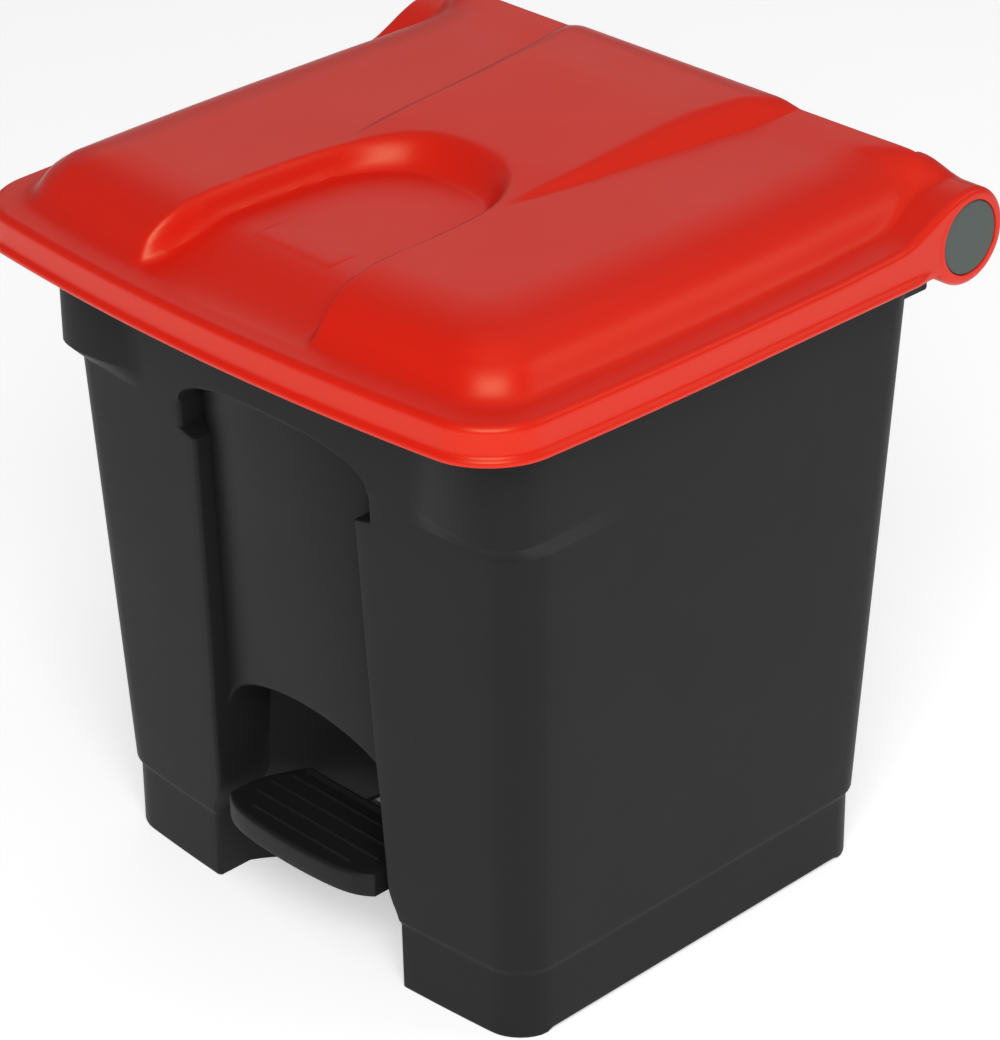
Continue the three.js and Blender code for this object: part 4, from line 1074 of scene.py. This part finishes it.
RED = (0.73, 0.0095, 0.003, 1)
mats = {
    "lid_plastic": finish_material("lid_plastic", RED, 0.35, spec=0.42, tint=(1.0, 0.9, 0.52, 1), speck=0.02, grain=1100, grain_depth=0.000012, wave=(9, 0.00025)),
    "body_plastic": finish_material("body_plastic", (0.0170, 0.0170, 0.0173, 1), 0.47, spec=0.1, speck=0.05, grain=1300, grain_depth=0.000018, wave=(7, 0.0003)),
    "tread_plastic": finish_material("tread_plastic", (0.0135, 0.0135, 0.0138, 1), 0.5, spec=0.16, speck=0.06, grain=1200, grain_depth=0.00002),
    "cap_plastic": finish_material("cap_plastic", (0.084, 0.100, 0.091, 1), 0.45, spec=0.2, speck=0.03, grain=1200, grain_depth=0.000012),
    "bush_plastic": finish_material("bush_plastic", (0.72, 0.70, 0.63, 1), 0.42, speck=0.03, grain=1000, grain_depth=0.00001, sub=0.1),
    "zinc_steel": finish_material("zinc_steel", (0.62, 0.63, 0.64, 1), 0.34, metallic=1.0, speck=0.12, grain=500, grain_depth=0.00001, rough_var=0.1, mottle=90, ior=1.8),
    "buffer_rubber": finish_material("buffer_rubber", (0.016, 0.016, 0.016, 1), 0.82, speck=0.1, grain=900, grain_depth=0.00003),
}


def dress(ob, slot):
    ob.data.materials.clear()
    ob.data.materials.append(mats[slot])
    for p in ob.data.polygons:
        p.material_index = 0


def slot_of(node):
    if node.startswith(("hinge_bush", "rod_guide", "axle_cap")):
        return "bush_plastic"
    if node.startswith(("axle_hanger", "rod_cover", "body_shell")):
        return "body_plastic"
    if node.startswith("lid_buffer"):
        return "buffer_rubber"
    if node.startswith("lid_shell"):
        return "lid_plastic"
    if node.startswith("hinge_cap"):
        return "cap_plastic"
    if node.startswith("pedal_tread"):
        return "tread_plastic"
    return "zinc_steel"


for node_name, ob in nodes.items():
    dress(ob, slot_of(node_name))
    # rounded faces shade smooth, flat ones stay crisp
    sharp_edges(ob, 30)

lid = finish_lid(build_lid())
lid.name = "lid_skin"
body = finish_body(build_body())
body.name = "body_skin"
tread = build_tread()
caps = {s: build_cap(s) for s in (1, -1)}
for ob, slot, body_name, node in (
        (lid, "lid_plastic", "lid", "lid_shell"),
        (body, "body_plastic", "bin", "body_shell"),
        (tread, "tread_plastic", "pedal", "pedal_tread"),
        (caps[1], "cap_plastic", "lid", "hinge_cap_right"),
        (caps[-1], "cap_plastic", "lid", "hinge_cap_left")):
    dress(ob, slot)
    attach(ob, body_name)
    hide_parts(node)

# ---------------------------------------------------------------- floor and light
bm = bmesh.new()
n, size = 24, 9.0
grid = [[bm.verts.new((-size / 2 + size * i / n, -size / 2 + size * j / n, 0)) for i in range(n + 1)] for j in range(n + 1)]
for j in range(n):
    for i in range(n):
        bm.faces.new((grid[j][i], grid[j][i + 1], grid[j + 1][i + 1], grid[j + 1][i]))
fme = bpy.data.meshes.new("floor")
bm.to_mesh(fme)
bm.free()
floor = bpy.data.objects.new("floor", fme)
scene.collection.objects.link(floor)
floor.data.materials.append(finish_material("studio_floor", (0.93, 0.93, 0.93, 1), 0.9, speck=0.004, grain=200, grain_depth=0.000005, mottle=1.2, glow=0.46))

world = bpy.data.worlds.new("studio")
scene.world = world
world.use_nodes = True
bg = world.node_tree.nodes["Background"]
bg.inputs[0].default_value = (1, 1, 1, 1)
bg.inputs[1].default_value = 0.22


def area(name, loc, target, size, power, color=(1, 1, 1)):
    d = bpy.data.lights.new(name, "AREA")
    d.shape = "RECTANGLE"
    d.size, d.size_y = size
    d.energy = power
    d.color = color
    o = bpy.data.objects.new(name, d)
    o.location = loc
    o.rotation_euler = (Vector(target) - Vector(loc)).to_track_quat("-Z", "Y").to_euler()
    scene.collection.objects.link(o)
    return o


area("key", (1.9, -1.85, 2.25), (0, 0, 0.3), (2.0, 1.6), 60)
area("fill", (0.3, 0.5, 2.6), (0, 0, 0.3), (2.2, 2.2), 4)
area("sheen", (-1.9, 1.85, 1.75), (0, 0, 0.4), (2.0, 1.2), 3.6)
area("glint", (1.15, -1.12, 2.35), (0, 0, 0.4), (1.7, 1.7), 8)
area("sheen_right", (1.65, 1.7, 1.8), (0, 0, 0.4), (1.7, 1.2), 7)

scene.view_settings.view_transform = "Standard"
scene.view_settings.look = "None"
scene.view_settings.exposure = 0.0
scene.view_settings.gamma = 1.0
